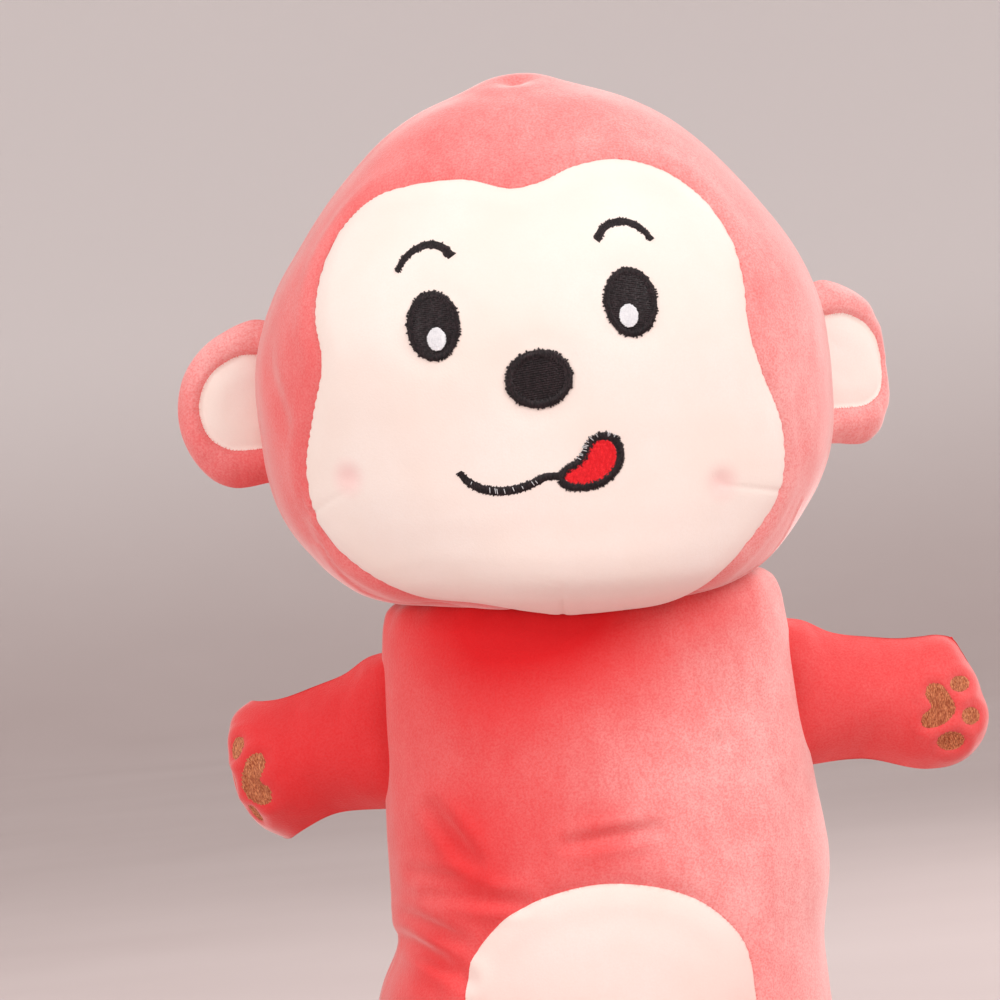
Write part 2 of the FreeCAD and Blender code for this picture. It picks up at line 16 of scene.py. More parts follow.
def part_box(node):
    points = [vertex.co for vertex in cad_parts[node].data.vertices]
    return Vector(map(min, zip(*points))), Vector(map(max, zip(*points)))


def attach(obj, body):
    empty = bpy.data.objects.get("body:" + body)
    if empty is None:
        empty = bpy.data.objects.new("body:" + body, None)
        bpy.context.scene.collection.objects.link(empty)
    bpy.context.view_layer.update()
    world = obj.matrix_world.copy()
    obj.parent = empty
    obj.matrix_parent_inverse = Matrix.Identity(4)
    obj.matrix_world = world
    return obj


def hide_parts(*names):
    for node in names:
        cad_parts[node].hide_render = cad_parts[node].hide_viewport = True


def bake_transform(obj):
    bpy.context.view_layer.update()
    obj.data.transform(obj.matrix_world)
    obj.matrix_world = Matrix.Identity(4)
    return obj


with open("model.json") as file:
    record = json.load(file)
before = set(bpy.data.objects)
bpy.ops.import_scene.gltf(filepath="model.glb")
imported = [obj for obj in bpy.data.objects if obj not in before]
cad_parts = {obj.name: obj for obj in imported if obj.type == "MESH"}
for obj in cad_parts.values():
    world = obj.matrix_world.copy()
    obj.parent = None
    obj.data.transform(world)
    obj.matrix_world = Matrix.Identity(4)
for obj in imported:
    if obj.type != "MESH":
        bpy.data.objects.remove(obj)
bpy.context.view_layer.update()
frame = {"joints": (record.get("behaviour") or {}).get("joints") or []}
MM = 0.001
rng = np.random.RandomState(7)
joints = {j["name"]: j for j in frame["joints"]}


# ---------------------------------------------------------------- small geometry helpers

def box_mm(node):
    low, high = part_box(node)
    return np.array(low) / MM, np.array(high) / MM


def hinge_mm(joint):
    return np.array(joints[joint]["pos_m"]) / MM


def hermite(p, s, t):
    """A smooth curve through points p at lengths s, read at t."""
    slope = np.gradient(p, s, axis=0)
    i = np.clip(np.searchsorted(s, t, side="right") - 1, 0, len(s) - 2)
    step = s[i + 1] - s[i]
    u = ((t - s[i]) / step)[:, None]
    h = step[:, None]
    return (
        p[i] * (2 * u**3 - 3 * u**2 + 1)
        + slope[i] * h * (u**3 - 2 * u**2 + u)
        + p[i + 1] * (3 * u**2 - 2 * u**3)
        + slope[i + 1] * h * (u**3 - u**2)
    )


def curve(points, count):
    """count points on a smooth open curve, evenly spaced along it."""
    p = np.array(points, float)
    s = np.concatenate([[0], np.cumsum(np.linalg.norm(np.diff(p, axis=0), axis=1))])
    fine = hermite(p, s, np.linspace(0, s[-1], count * 6))
    length = np.concatenate([[0], np.cumsum(np.linalg.norm(np.diff(fine, axis=0), axis=1))])
    even = np.linspace(0, length[-1], count)
    return np.stack([np.interp(even, length, fine[:, k]) for k in range(p.shape[1])], 1)


def ring(points, count):
    """count points on a smooth closed curve, evenly spaced along it."""
    p = np.array(points, float)
    extra = 3
    wrapped = np.concatenate([p[-extra:], p, p[: extra + 1]])
    s = np.concatenate([[0], np.cumsum(np.linalg.norm(np.diff(wrapped, axis=0), axis=1))])
    fine = hermite(wrapped, s, np.linspace(s[extra], s[extra + len(p)], count * 6 + 1))
    length = np.concatenate([[0], np.cumsum(np.linalg.norm(np.diff(fine, axis=0), axis=1))])
    even = np.linspace(0, length[-1], count, endpoint=False)
    return np.stack([np.interp(even, length, fine[:, k]) for k in range(p.shape[1])], 1)


def smoothstep(x, low, high):
    t = np.clip((x - low) / (high - low), 0, 1)
    return t * t * (3 - 2 * t)


def bump(distance, width):
    return np.exp(-((distance / width) ** 2))


def noise(p, size, seed=0):
    """Smooth value noise between -1 and 1 on points in mm, with features of about size mm."""
    q = p / size + seed * 17.31
    cell = np.floor(q).astype(np.int64)
    f = q - cell
    f = f * f * (3 - 2 * f)
    total = np.zeros(len(p))
    for corner in range(8):
        d = np.array([corner & 1, corner >> 1 & 1, corner >> 2 & 1])
        c = cell + d
        mixed = c[:, 0] * 73856093 ^ c[:, 1] * 19349663 ^ c[:, 2] * 83492791 ^ (seed * 2654435761)
        mixed = (mixed ^ (mixed >> 13)) * 1274126177
        value = ((mixed ^ (mixed >> 16)) & 0xFFFF) / 32767.5 - 1
        weight = np.prod(np.where(d == 1, f, 1 - f), axis=1)
        total += value * weight
    return total


def outline_distance(points, outline):
    """Signed distance in a plane to a closed outline, negative inside, and the way to it."""
    a = outline
    b = np.roll(outline, -1, axis=0)
    best = np.full(len(points), 1e9)
    way = np.zeros((len(points), 2))
    inside = np.zeros(len(points), bool)
    for start, end in zip(a, b):
        edge = end - start
        t = np.clip(((points - start) @ edge) / (edge @ edge), 0, 1)
        gap = points - (start + t[:, None] * edge)
        d = np.hypot(gap[:, 0], gap[:, 1])
        nearer = d < best
        best[nearer] = d[nearer]
        way[nearer] = gap[nearer]
        crosses = (start[1] > points[:, 1]) != (end[1] > points[:, 1])
        if edge[1]:
            x = start[0] + (points[:, 1] - start[1]) / edge[1] * edge[0]
            inside ^= crosses & (points[:, 0] < x)
    return np.where(inside, -best, best), way / np.maximum(best, 1e-9)[:, None]


def line_distance(points, line):
    """Distance to an open line of points, and how far along the line the nearest place is, 0 to 1."""
    best = np.full(len(points), 1e9)
    along = np.zeros(len(points))
    count = len(line) - 1
    for i in range(count):
        edge = line[i + 1] - line[i]
        t = np.clip(((points - line[i]) @ edge) / (edge @ edge), 0, 1)
        d = np.linalg.norm(points - (line[i] + t[:, None] * edge), axis=1)
        nearer = d < best
        best[nearer] = d[nearer]
        along[nearer] = ((i + t) / count)[nearer]
    return best, along


# ---------------------------------------------------------------- surfaces

class Surface:
    """Triangles with a place, a normal and a rest place for each corner."""

    def __init__(self, place, triangles, normal=None, rest=None):
        self.place = place
        self.triangles = triangles
        self.normal = vertex_normals(place, triangles) if normal is None else normal
        self.rest = place if rest is None else rest

    def moved(self, distance):
        place = self.place + self.normal * distance[:, None]
        return Surface(place, self.triangles, self.normal, self.rest)

    def compact(self):
        used = np.unique(self.triangles)
        index = np.zeros(len(self.place), np.int64)
        index[used] = np.arange(len(used))
        return Surface(self.place[used], index[self.triangles], self.normal[used], self.rest[used])


def vertex_normals(place, triangles):
    a, b, c = (place[triangles[:, k]] for k in range(3))
    face = np.cross(b - a, c - a)
    total = np.zeros_like(place)
    for k in range(3):
        np.add.at(total, triangles[:, k], face)
    return total / np.maximum(np.linalg.norm(total, axis=1), 1e-12)[:, None]


def grid_triangles(rows, cols, closed):
    r, c = np.meshgrid(np.arange(rows - 1), np.arange(cols if closed else cols - 1), indexing="ij")
    a = (r * cols + c).ravel()
    b = (r * cols + (c + 1) % cols).ravel()
    return np.concatenate([np.stack([a, b, b + cols], 1), np.stack([a, b + cols, a + cols], 1)])


def tube(grid, close_start=True, close_end=True):
    """A surface from rings of points, each end closed by a middle point."""
    rows, cols, _ = grid.shape
    place = grid.reshape(-1, 3)
    triangles = [grid_triangles(rows, cols, True)]
    k = np.arange(cols)
    if close_start:
        triangles.append(np.stack([np.full(cols, len(place)), (k + 1) % cols, k], 1))
        place = np.concatenate([place, grid[0].mean(0)[None]])
    if close_end:
        last = (rows - 1) * cols
        triangles.append(np.stack([np.full(cols, len(place)), last + k, last + (k + 1) % cols], 1))
        place = np.concatenate([place, grid[-1].mean(0)[None]])
    return outward(Surface(place, np.concatenate(triangles)), place.mean(0))


def outward(surface, centre):
    """The surface with its triangles turned to face away from a place inside it."""
    a, b, c = (surface.place[surface.triangles[:, k]] for k in range(3))
    if np.einsum("ij,ij->", np.cross(b - a, c - a), (a + b + c) / 3 - centre) < 0:
        return Surface(surface.place, surface.triangles[:, ::-1], None, surface.rest)
    return surface


def split(surface, field):
    """Cut a surface along the zero line of a field; gives the part below zero and the part above."""
    tri = surface.triangles
    count = len(surface.place)
    above = field >= 0
    edges = np.sort(np.stack([tri, np.roll(tri, -1, axis=1)], 2).reshape(-1, 2), axis=1)
    crossed = above[edges[:, 0]] != above[edges[:, 1]]
    unique, inverse = np.unique(edges[crossed], axis=0, return_inverse=True)
    low, high = unique[:, 0], unique[:, 1]
    w = (field[low] / (field[low] - field[high]))[:, None]

    def between(values):
        return np.concatenate([values, values[low] * (1 - w) + values[high] * w])

    new = np.full(len(edges), -1)
    new[crossed] = count + inverse.ravel()
    new = new.reshape(-1, 3)
    state = above[tri]
    mixed = state.any(1) & ~state.all(1)
    lone_value = state.sum(1) == 1
    lone = np.argmax(state == lone_value[:, None], axis=1)
    rows = np.nonzero(mixed)[0]
    k = lone[rows]
    a, b, c = (tri[rows, (k + j) % 3] for j in range(3))
    p = new[rows, k]
    q = new[rows, (k + 2) % 3]
    tips = np.stack([a, p, q], 1)
    bases = np.concatenate([np.stack([p, b, c], 1), np.stack([p, c, q], 1)])
    tip_above = lone_value[rows]
    both = np.concatenate([tip_above, tip_above])
    parts = []
    place, normal, rest = between(surface.place), between(surface.normal), between(surface.rest)
    for wanted in (False, True):
        whole = tri[(state == wanted).all(1)]
        pieces = np.concatenate([whole, tips[tip_above == wanted], bases[both != wanted]])
        parts.append(Surface(place, pieces, normal, rest).compact())
    return parts


def make_object(name, place, faces, material):
    mesh = bpy.data.meshes.new(name)
    mesh.from_pydata((place * MM).tolist(), [], faces.tolist() if isinstance(faces, np.ndarray) else faces)
    mesh.polygons.foreach_set("use_smooth", [True] * len(mesh.polygons))
    mesh.materials.append(material)
    mesh.update()
    obj = bpy.data.objects.new(name, mesh)
    bpy.context.scene.collection.objects.link(obj)
    return obj


def skin(name, surface, material, body, replaced):
    """One sewn panel, as an object that stands for its CAD nodes and rides on their body."""
    obj = make_object(name, surface.place, surface.triangles, material)
    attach(obj, body)
    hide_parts(*replaced)


def seam_groove(distance, p, depth=1.6, width=2.4, uneven=0.35):
    """How a sewn seam pulls the cloth in and lets it puff beside the seam; it varies along the seam."""
    pull = depth * (1 + uneven * noise(p, 7.0, 3))
    return -pull * np.exp(-distance / width) + 0.35 * depth * bump(distance - 7.0, 4.0)


# ---------------------------------------------------------------- materials

class Nodes:
    """A short way to write a node tree."""

    def __init__(self, name):
        self.material = bpy.data.materials.new(name)
        self.material.use_nodes = True
        self.tree = self.material.node_tree
        self.tree.nodes.clear()
        output = self.add("ShaderNodeOutputMaterial")
        self.shader = self.add("ShaderNodeBsdfPrincipled")
        self.link(self.shader.outputs[0], output.inputs["Surface"])
        self.place = self.add("ShaderNodeTexCoord").outputs["Object"]

    def add(self, kind, **values):
        node = self.tree.nodes.new(kind)
        for key, value in values.items():
            setattr(node, key, value)
        return node

    def link(self, a, b):
        self.tree.links.new(a, b)

    def noise(self, scale, detail=2.0, roughness=0.5, stretch=None):
        place = self.place
        if stretch:
            mapping = self.add("ShaderNodeMapping")
            mapping.inputs["Scale"].default_value = stretch
            self.link(place, mapping.inputs["Vector"])
            place = mapping.outputs[0]
        node = self.add("ShaderNodeTexNoise")
        node.inputs["Scale"].default_value = scale
        node.inputs["Detail"].default_value = detail
        node.inputs["Roughness"].default_value = roughness
        self.link(place, node.inputs["Vector"])
        return node.outputs["Fac"]

    def range(self, value, low, high, to_low=0.0, to_high=1.0, smooth=False):
        node = self.add("ShaderNodeMapRange")
        node.interpolation_type = "SMOOTHSTEP" if smooth else "LINEAR"
        for key, number in zip(("From Min", "From Max", "To Min", "To Max"), (low, high, to_low, to_high)):
            node.inputs[key].default_value = number
        self.link(value, node.inputs["Value"])
        return node.outputs["Result"]

    def mix(self, factor, a, b):
        node = self.add("ShaderNodeMix", data_type="RGBA")
        for socket, value in ((node.inputs["Factor"], factor), (node.inputs[6], a), (node.inputs[7], b)):
            if isinstance(value, (int, float)):
                socket.default_value = value
            elif isinstance(value, tuple):
                socket.default_value = (*value, 1.0)
            else:
                self.link(value, socket)
        return node.outputs[2]

    def math(self, operation, a, b):
        node = self.add("ShaderNodeMath", operation=operation)
        for socket, value in ((node.inputs[0], a), (node.inputs[1], b)):
            if isinstance(value, (int, float)):
                socket.default_value = value
            else:
                self.link(value, socket)
        return node.outputs[0]

    def bump(self, height, strength, distance, below=None):
        node = self.add("ShaderNodeBump")
        node.inputs["Strength"].default_value = strength
        node.inputs["Distance"].default_value = distance
        self.link(height, node.inputs["Height"])
        if below:
            self.link(below, node.inputs["Normal"])
        return node.outputs[0]

    def near(self, point_mm, inner_mm, outer_mm):
        """1 near a point of the row frame and 0 away from it."""
        node = self.add("ShaderNodeVectorMath", operation="DISTANCE")
        node.inputs[1].default_value = tuple(np.array(point_mm) * MM)
        self.link(self.place, node.inputs[0])
        return self.range(node.outputs["Value"], inner_mm * MM, outer_mm * MM, 1.0, 0.0, smooth=True)

    def set(self, **values):
        for key, value in values.items():
            self.shader.inputs[key.replace("_", " ")].default_value = value


def plush(name, deep, pale, pile_tone_and_painted_light, rough_pile):
    """Short-pile velvet: the factor given says how far the colour goes from deep to pale, from 0 to 1, as
    random pile tone and, where a caller paints it, painted light.
    """
    n = Nodes(name)
    brushed = n.noise(150.0, 3.0, 0.62, stretch=(1.0, 1.0, 0.5))
    grain = n.noise(1400.0, 2.0, 0.6)
    colour = n.mix(n.math("MULTIPLY", pile_tone_and_painted_light(n), n.range(brushed, 0.36, 0.72, 0.9, 1.12)), deep, pale)
    colour = n.mix(n.range(grain, 0.38, 0.66, 0.0, 0.35), colour, deep)
    n.link(colour, n.shader.inputs["Base Color"])
    soft = n.bump(brushed, 0.12 * rough_pile, 0.0012)
    fine = n.bump(grain, 0.35 * rough_pile, 0.0004, soft)
    n.link(fine, n.shader.inputs["Normal"])
    n.link(n.range(brushed, 0.3, 0.7, 0.75, 0.92), n.shader.inputs["Roughness"])
    return n


CORAL_DEEP = (0.78, 0.008, 0.013)
# the pale end of the red plush is painted sheen, where the pile catches the key light
CORAL_PAINTED_SHEEN = (0.95, 0.52, 0.50)
CREAM_DEEP = (0.91, 0.775, 0.70)
CREAM_PALE = (0.94, 0.84, 0.785)


def coral_plush(name, left, right, from_x, spots=()):
    """Coral plush painted paler from from_x to the right as painted sheen, where the key light falls, and
    painted deeper as painted shade or paler as painted sheen round some spots.
    """

    def pile_tone_and_painted_light(n):
        separate = n.add("ShaderNodeSeparateXYZ")
        n.link(n.place, separate.inputs[0])
        # painted sheen: paler from from_x towards +x, the side where the key light falls
        total = n.range(separate.outputs["X"], from_x * MM, 0.075, left, right, smooth=True)
        # painted sheen where a spot's amount is above zero, painted shade where it is below
        for point, reach, amount in spots:
            total = n.math("ADD", total, n.math("MULTIPLY", n.near(point, 0.0, reach), amount))
        total = n.math("MULTIPLY", total, n.range(n.noise(24.0, 3.0, 0.55), 0.3, 0.7, 0.82, 1.18))
        return n.math("MINIMUM", n.math("MAXIMUM", total, 0.02), 1.0)

    n = plush(name, CORAL_DEEP, CORAL_PAINTED_SHEEN, pile_tone_and_painted_light, 1.0)
    n.set(Sheen_Weight=1.0, Sheen_Roughness=0.4, Sheen_Tint=(1.0, 0.86, 0.84, 1.0), Specular_IOR_Level=0.12)
    return n.material


def cream_plush(name, blush_points=()):
    """Cream plush, pinker round some points."""
    n = plush(name, CREAM_DEEP, CREAM_PALE, lambda n: n.range(n.noise(24.0, 3.0), 0.3, 0.7), 0.5)
    n.set(Sheen_Weight=0.35, Sheen_Roughness=0.5, Sheen_Tint=(1.0, 0.97, 0.95, 1.0), Specular_IOR_Level=0.15)
    base = n.shader.inputs["Base Color"]
    colour = base.links[0].from_socket
    for point in blush_points:
        colour = n.mix(n.math("MULTIPLY", n.near(point, 1.0, 9.0), 0.3), colour, (0.95, 0.36, 0.38))
    n.link(colour, base)
    return n.material


def thread(name, colour, light, rough=0.45):
    """Shiny polyester embroidery thread with fine twisted fibres, streaked towards the lighter colour:
    partly fibre tone and partly painted sheen.
    """
    n = Nodes(name)
    twist = n.noise(2600.0, 1.0, 0.5, stretch=(1.0, 1.0, 0.35))
    patches = n.noise(180.0, 2.0)
    # partly painted sheen: the twists are streaked towards the lighter colour
    mixed = n.mix(n.range(twist, 0.35, 0.7), colour, light)
    mixed = n.mix(n.range(patches, 0.35, 0.7, 0.0, 0.4), mixed, colour)
    n.link(mixed, n.shader.inputs["Base Color"])
    n.link(n.bump(twist, 0.35, 0.0002), n.shader.inputs["Normal"])
    n.link(n.range(patches, 0.3, 0.7, rough, rough + 0.15), n.shader.inputs["Roughness"])
    n.set(Specular_IOR_Level=0.3)
    return n.material


def label_satin():
    """Woven satin ribbon."""
    n = Nodes("label_satin")
    weave = n.add("ShaderNodeTexWave", bands_direction="Z")
    weave.inputs["Scale"].default_value = 900.0
    weave.inputs["Distortion"].default_value = 0.4
    n.link(n.place, weave.inputs["Vector"])
    colour = n.mix(n.range(n.noise(300.0), 0.3, 0.7), (0.86, 0.85, 0.82), (0.93, 0.92, 0.90))
    n.link(colour, n.shader.inputs["Base Color"])
    n.link(n.bump(weave.outputs["Fac"], 0.3, 0.0002), n.shader.inputs["Normal"])
    n.link(n.range(n.noise(500.0), 0.3, 0.7, 0.35, 0.5), n.shader.inputs["Roughness"])
    return n.material


# ---------------------------------------------------------------- places read from the frame

nose_low, nose_high = box_mm("nose")
NOSE = (nose_low + nose_high) / 2
NOSE[1] = nose_low[1]
head_low, head_high = box_mm("head_front_panel")
HEAD = np.array([(head_low[0] + head_high[0]) / 2, head_high[1], NOSE[2] + 12.0])
NECK = hinge_mm("neck_nod")


def eye_middle(side):
    low, high = box_mm(f"eye_{side}")
    return (low + high) / 2 - NOSE


# each spot is a place in mm, a reach, and how much paler (above zero, painted sheen) or deeper (painted
# shade) the plush is painted there
# limbs, tail and seam fuzz: painted sheen, paler towards the right, round both paws and over the front of
# the legs
coral_painted_light = coral_plush("coral_plush", left=0.09, right=0.19, from_x=-75.0, spots=[
    ((-140.0, -70.0, 164.0), 42.0, 0.30),
    ((138.0, -40.0, 160.0), 40.0, 0.20),
    ((0.0, -120.0, 20.0), 130.0, 0.28),
])
# painted sheen: the head's plush is painted paler towards the right, where the key light falls
head_coral_painted_light = coral_plush("coral_plush.head", left=0.42, right=0.76, from_x=-85.0)
# painted sheen: paler towards the right and at the top of the left ear; painted shade: deeper at the bottoms
# of both ears
ear_coral_painted_light = coral_plush("coral_plush.ear", left=0.50, right=0.80, from_x=-105.0, spots=[
    ((-126.0, -10.0, 298.0), 40.0, 0.35),
    ((-112.0, -10.0, 232.0), 36.0, -0.45),
    ((112.0, -10.0, 236.0), 26.0, -0.25),
])
# painted sheen: paler towards the right, where the key light falls; painted shade: deeper under the chin,
# where the head shades the chest, and along the creases of the folds on the front
torso_coral_painted_light = coral_plush("coral_plush.torso", left=0.25, right=1.0, from_x=-38.0, spots=[
    ((-46.0, -48.0, 202.0), 66.0, -0.16),
    ((-12.0, -54.0, 199.0), 66.0, -0.20),
    ((30.0, -50.0, 199.0), 66.0, -0.46),
    ((58.0, -44.0, 204.0), 38.0, -0.30),
    ((-54.0, -48.0, 122.0), 28.0, -0.20),
    ((-46.0, -54.0, 103.0), 22.0, -0.16),
    ((0.0, -58.0, 119.0), 18.0, -0.2),
    ((-66.0, -40.0, 82.0), 24.0, -0.18),
])
cream = cream_plush("cream_plush")
black_thread = thread("black_thread", (0.004, 0.002, 0.003), (0.040, 0.022, 0.026), 0.38)
white_thread = thread("white_thread", (0.80, 0.81, 0.84), (0.95, 0.95, 0.97))
red_thread = thread("red_thread", (0.74, 0.006, 0.014), (0.95, 0.020, 0.030))
brown_thread = thread("brown_thread", (0.34, 0.07, 0.025), (0.85, 0.34, 0.15))
coral_thread = thread("coral_thread", (0.60, 0.05, 0.06), (0.80, 0.12, 0.12))


# ---------------------------------------------------------------- head

# height above the head's middle, half width
HEAD_PROFILE = [
    (94.3, 0.0), (93.8, 5.0), (92.2, 11.5), (89.0, 21.0), (83.0, 36.9), (75.0, 50.0), (65.0, 60.9),
    (53.0, 71.6), (41.0, 80.7), (29.0, 88.4), (17.0, 94.0), (5.0, 97.4), (-8.0, 98.6), (-22.0, 98.6),
    (-35.0, 98.0), (-45.0, 96.0), (-55.0, 91.5), (-65.0, 84.8), (-74.0, 77.5), (-80.5, 70.0), (-85.5, 60.0),
    (-89.0, 46.0), (-91.2, 30.0), (-92.0, 14.0), (-92.2, 0.0),
]
# the head's depth as a share of its width
HEAD_DEPTH = 0.79
# outline of the cream face, from the middle of the nose, x and height
FACE_OUTLINE = [
    (-1.9, 65.9), (-18.7, 70.7), (-34.6, 71.0), (-49.6, 68.3), (-62.6, 58.5), (-70.5, 44.5),
    (-74.0, 28.5), (-73.0, 12.5), (-77.6, -3.9), (-82.0, -24.2), (-78.3, -43.8), (-65.1, -59.4),
    (-46.9, -70.0), (-27.7, -74.0), (-8.7, -79.0), (10.4, -83.0), (30.5, -82.0), (50.6, -74.6),
    (67.0, -60.5), (79.1, -43.8), (81.4, -23.3), (75.8, -3.5), (72.6, 12.3), (72.7, 27.3),
    (69.8, 43.2), (61.9, 57.2), (49.9, 67.6), (34.9, 72.9), (19.0, 71.7), (6.1, 67.0),
]
# darts that shape the cheeks and the chin: from the outline inwards, x and height from the nose
DARTS = [
    ((-81.5, -37.5), (-67.1, -30.8)),
    ((78.5, -45.0), (57.9, -41.0)),
    ((0.7, -81.0), (1.4, -69.6)),
]
# where the cheek darts end in a pinched, pinker spot: x and height from the nose
BLUSHES = [(-66.6, -26.8), (57.9, -39.9)]
# soft folds of the plush beside the face: x and height from the nose, one line each
CHEEK_FOLDS = [
    [(-89.5, 25.5), (-91.1, 14.1), (-89.7, 4.8), (-87.7, -4.6), (-86.7, -12.2)],
    [(-84.0, -28.0), (-83.5, -40.0), (-79.0, -50.0)],
    [(86.0, -14.0), (87.0, -26.0), (84.5, -38.0)],
]
# the lines of the brows and the mouth, and the outline of the tongue: x and height from the nose
BROWS = {
    "left": [(-44.0, 40.8), (-40.7, 45.4), (-36.4, 48.0), (-31.8, 48.8), (-27.9, 47.2), (-25.3, 44.1)],
    "right": [(23.8, 44.9), (26.5, 48.7), (31.2, 50.5), (36.2, 49.5), (40.0, 46.4), (42.2, 43.4)],
}
MOUTH_LINE = [
    (-29.4, -28.6), (-27.3, -31.4), (-23.2, -34.4), (-17.4, -36.0), (-11.5, -36.0), (-5.5, -34.6),
    (-0.9, -32.8), (3.6, -32.8),
]
TONGUE_OUTLINE = [
    (4.0, -34.2), (6.2, -36.4), (10.5, -37.3), (15.0, -37.0), (19.6, -35.2), (23.1, -31.9),
    (24.8, -27.4), (24.2, -23.7), (21.3, -21.2), (18.0, -21.2), (15.2, -22.8), (13.2, -26.0),
    (11.0, -28.7), (7.5, -30.6), (5.1, -31.9),
]
# the dome of the neck: the gap round it, its half width and its half depth
NECK_GAP = 0.8
NECK_WIDTH = 70.5
NECK_DEPTH = 50.0
# where the seams of the crown meet, from the head's middle
KNOT = np.array([-0.7, -13.0, 90.5])


def cross_section(angle, power):
    """A rounded outline of half width and half depth 1: a circle at power 2, squarer above it."""
    c, s = np.cos(angle), np.sin(angle)
    size = (np.abs(c) ** power + np.abs(s) ** power) ** (-1 / power)
    return c * size, s * size


def head_surface():
    rows, cols = 320, 400
    profile = curve(HEAD_PROFILE, rows + 1)[1:-1]
    height, width = profile[:, 0], profile[:, 1]
    # the chin hangs forward of the crown
    forward = 22.0 * smoothstep(-height, 28.0, 104.0) ** 1.3 + 2.5 * smoothstep(height, 70.0, 94.0)
    angle = np.linspace(0, 2 * math.pi, cols, endpoint=False)
    x, y = cross_section(angle, 2.12)
    grid = np.empty((len(profile), cols, 3))
    grid[:, :, 0] = width[:, None] * x
    grid[:, :, 1] = (width * HEAD_DEPTH)[:, None] * y - forward[:, None]
    grid[:, :, 2] = height[:, None]
    surface = tube(grid)
    place = surface.place
    # loose, uneven filling
    place = place + surface.normal * (0.8 * noise(place, 46.0, 1) + 0.3 * noise(place, 17.0, 2))[:, None]
    # the filling has settled: the jaw hangs lower on the right
    jaw = smoothstep(-place[:, 2], 50, 80) * smoothstep(-place[:, 1], -20, 20)
    place[:, 2] += jaw * (4.2 * bump(place[:, 0] + 44, 28.0) - 1.2 * bump(place[:, 0] - 26, 18.0))
    place = place + HEAD
    # the underside is hollowed round the dome of the neck
    _, top = box_mm("torso_front_panel")
    half_depth = top[2] - NECK[2] + NECK_GAP
    half_width = half_depth * NECK_WIDTH / NECK_DEPTH
    from_neck = (place - NECK) / np.array([half_width, half_depth, half_depth])
    level = np.linalg.norm(from_neck, axis=1)
    sharp = 0.035
    rounded = level + sharp * np.log1p(np.exp((1 - level) / sharp))
    swing = np.linalg.norm(from_neck[:, 1:], axis=1)
    wanted = np.sqrt(np.maximum(rounded**2 - from_neck[:, 0] ** 2, 0))
    push = np.where(level < 1.35, wanted / np.maximum(swing, 1e-6), 1.0)
    place = NECK + (place - NECK) * np.stack([np.ones(len(push)), push, push], 1)
    return Surface(place, surface.triangles)


def head_seams(place):
    """Fields whose zero lines are the seams between front and back panels and up the middle of the back."""
    local = place - HEAD
    side = local[:, 1] - 1.0 + 3.0 * smoothstep(local[:, 2], 60, 92)
    return side, local[:, 0] - 1.0


def face_field(place, outline):
    """How far outside the face panel a place is; the panel turns under the chin and ends there."""
    flat = place - NOSE
    gap = np.full(len(flat), 200.0)
    way = np.zeros((len(flat), 2))
    front = place[:, 1] < HEAD[1] - 2
    gap[front], way[front] = outline_distance(flat[front][:, [0, 2]], outline)
    under = place[:, 1] - (HEAD[1] - 38.0)
    under = np.where(place[:, 2] < HEAD[2] - 60, under, -200.0)
    return np.maximum(gap, under), way, gap


def over_surface(surface, gap, way):
    """A distance in the plane of the front, turned into the distance over the sloping surface."""
    steep = np.abs(way[:, 0] * surface.normal[:, 0] + way[:, 1] * surface.normal[:, 2])
    return gap / np.sqrt(np.maximum(1 - steep**2, 0.12))


def head_relief(surface, field, way, gap):
    """Grooves, puckers, darts and folds, as how far each place of the head goes in or out."""
    flat = surface.place - NOSE
    over = np.where(field > gap, field, over_surface(surface, gap, way))
    local = surface.place - HEAD
    side_seam, back_seam = head_seams(surface.place)
    above_neck = smoothstep(local[:, 2], -88, -70)
    shape = seam_groove(np.abs(over), surface.place, 1.3, 1.5, 0.08)
    shape += np.where(gap < 0, 0.5 * smoothstep(-over, 0, 14), 0)
    shape += seam_groove(np.abs(side_seam), surface.place, 1.5, 2.2) * above_neck * smoothstep(over, 0, 8)
    shape += np.where(side_seam > 0, seam_groove(np.abs(back_seam), surface.place, 1.5, 2.2) * above_neck, 0)
    # the seams meet in a knot on the crown, a little in front of the top
    to_knot = np.linalg.norm((local - KNOT) * np.array([0.8, 1.0, 1.0]), axis=1)
    shape += -2.6 * bump(to_knot, 3.2) + 0.7 * bump(to_knot - 8.0, 4.0)
    for start, end in DARTS:
        d, along = line_distance(flat[:, [0, 2]], np.array([start, end]))
        depth = 0.5 * (1 - 0.6 * along)
        on_face = (surface.normal[:, 1] < 0.2) & (gap < 3)
        shape += np.where(on_face, -depth * bump(d, 0.7) + 0.2 * bump(d - 3.4, 2.6) * (1 - along), 0)
    for x, z in BLUSHES:
        d = np.hypot(flat[:, 0] - x, flat[:, 2] - z)
        shape += np.where(gap < 0, -1.0 * bump(d, 3.2), 0)
    for points in CHEEK_FOLDS:
        line = curve(points, 16)
        d, along = line_distance(flat[:, [0, 2]], line)
        ends = np.sin(np.pi * np.clip(0.08 + 0.84 * along, 0, 1))
        fold = (-1.1 * bump(d, 2.6) + 0.4 * bump(d - 5.4, 3.6)) * ends
        shape += np.where((surface.normal[:, 1] < 0.1) & (over > 3), fold, 0)
    # embroidery draws the cloth in a little
    for centre, reach in ((np.zeros(3), 12.5), (eye_middle("left"), 12.0), (eye_middle("right"), 12.0)):
        d = np.hypot(flat[:, 0] - centre[0], flat[:, 2] - centre[2])
        shape += np.where(gap < 0, -0.4 * bump(d - reach, 4.0), 0)
    return shape


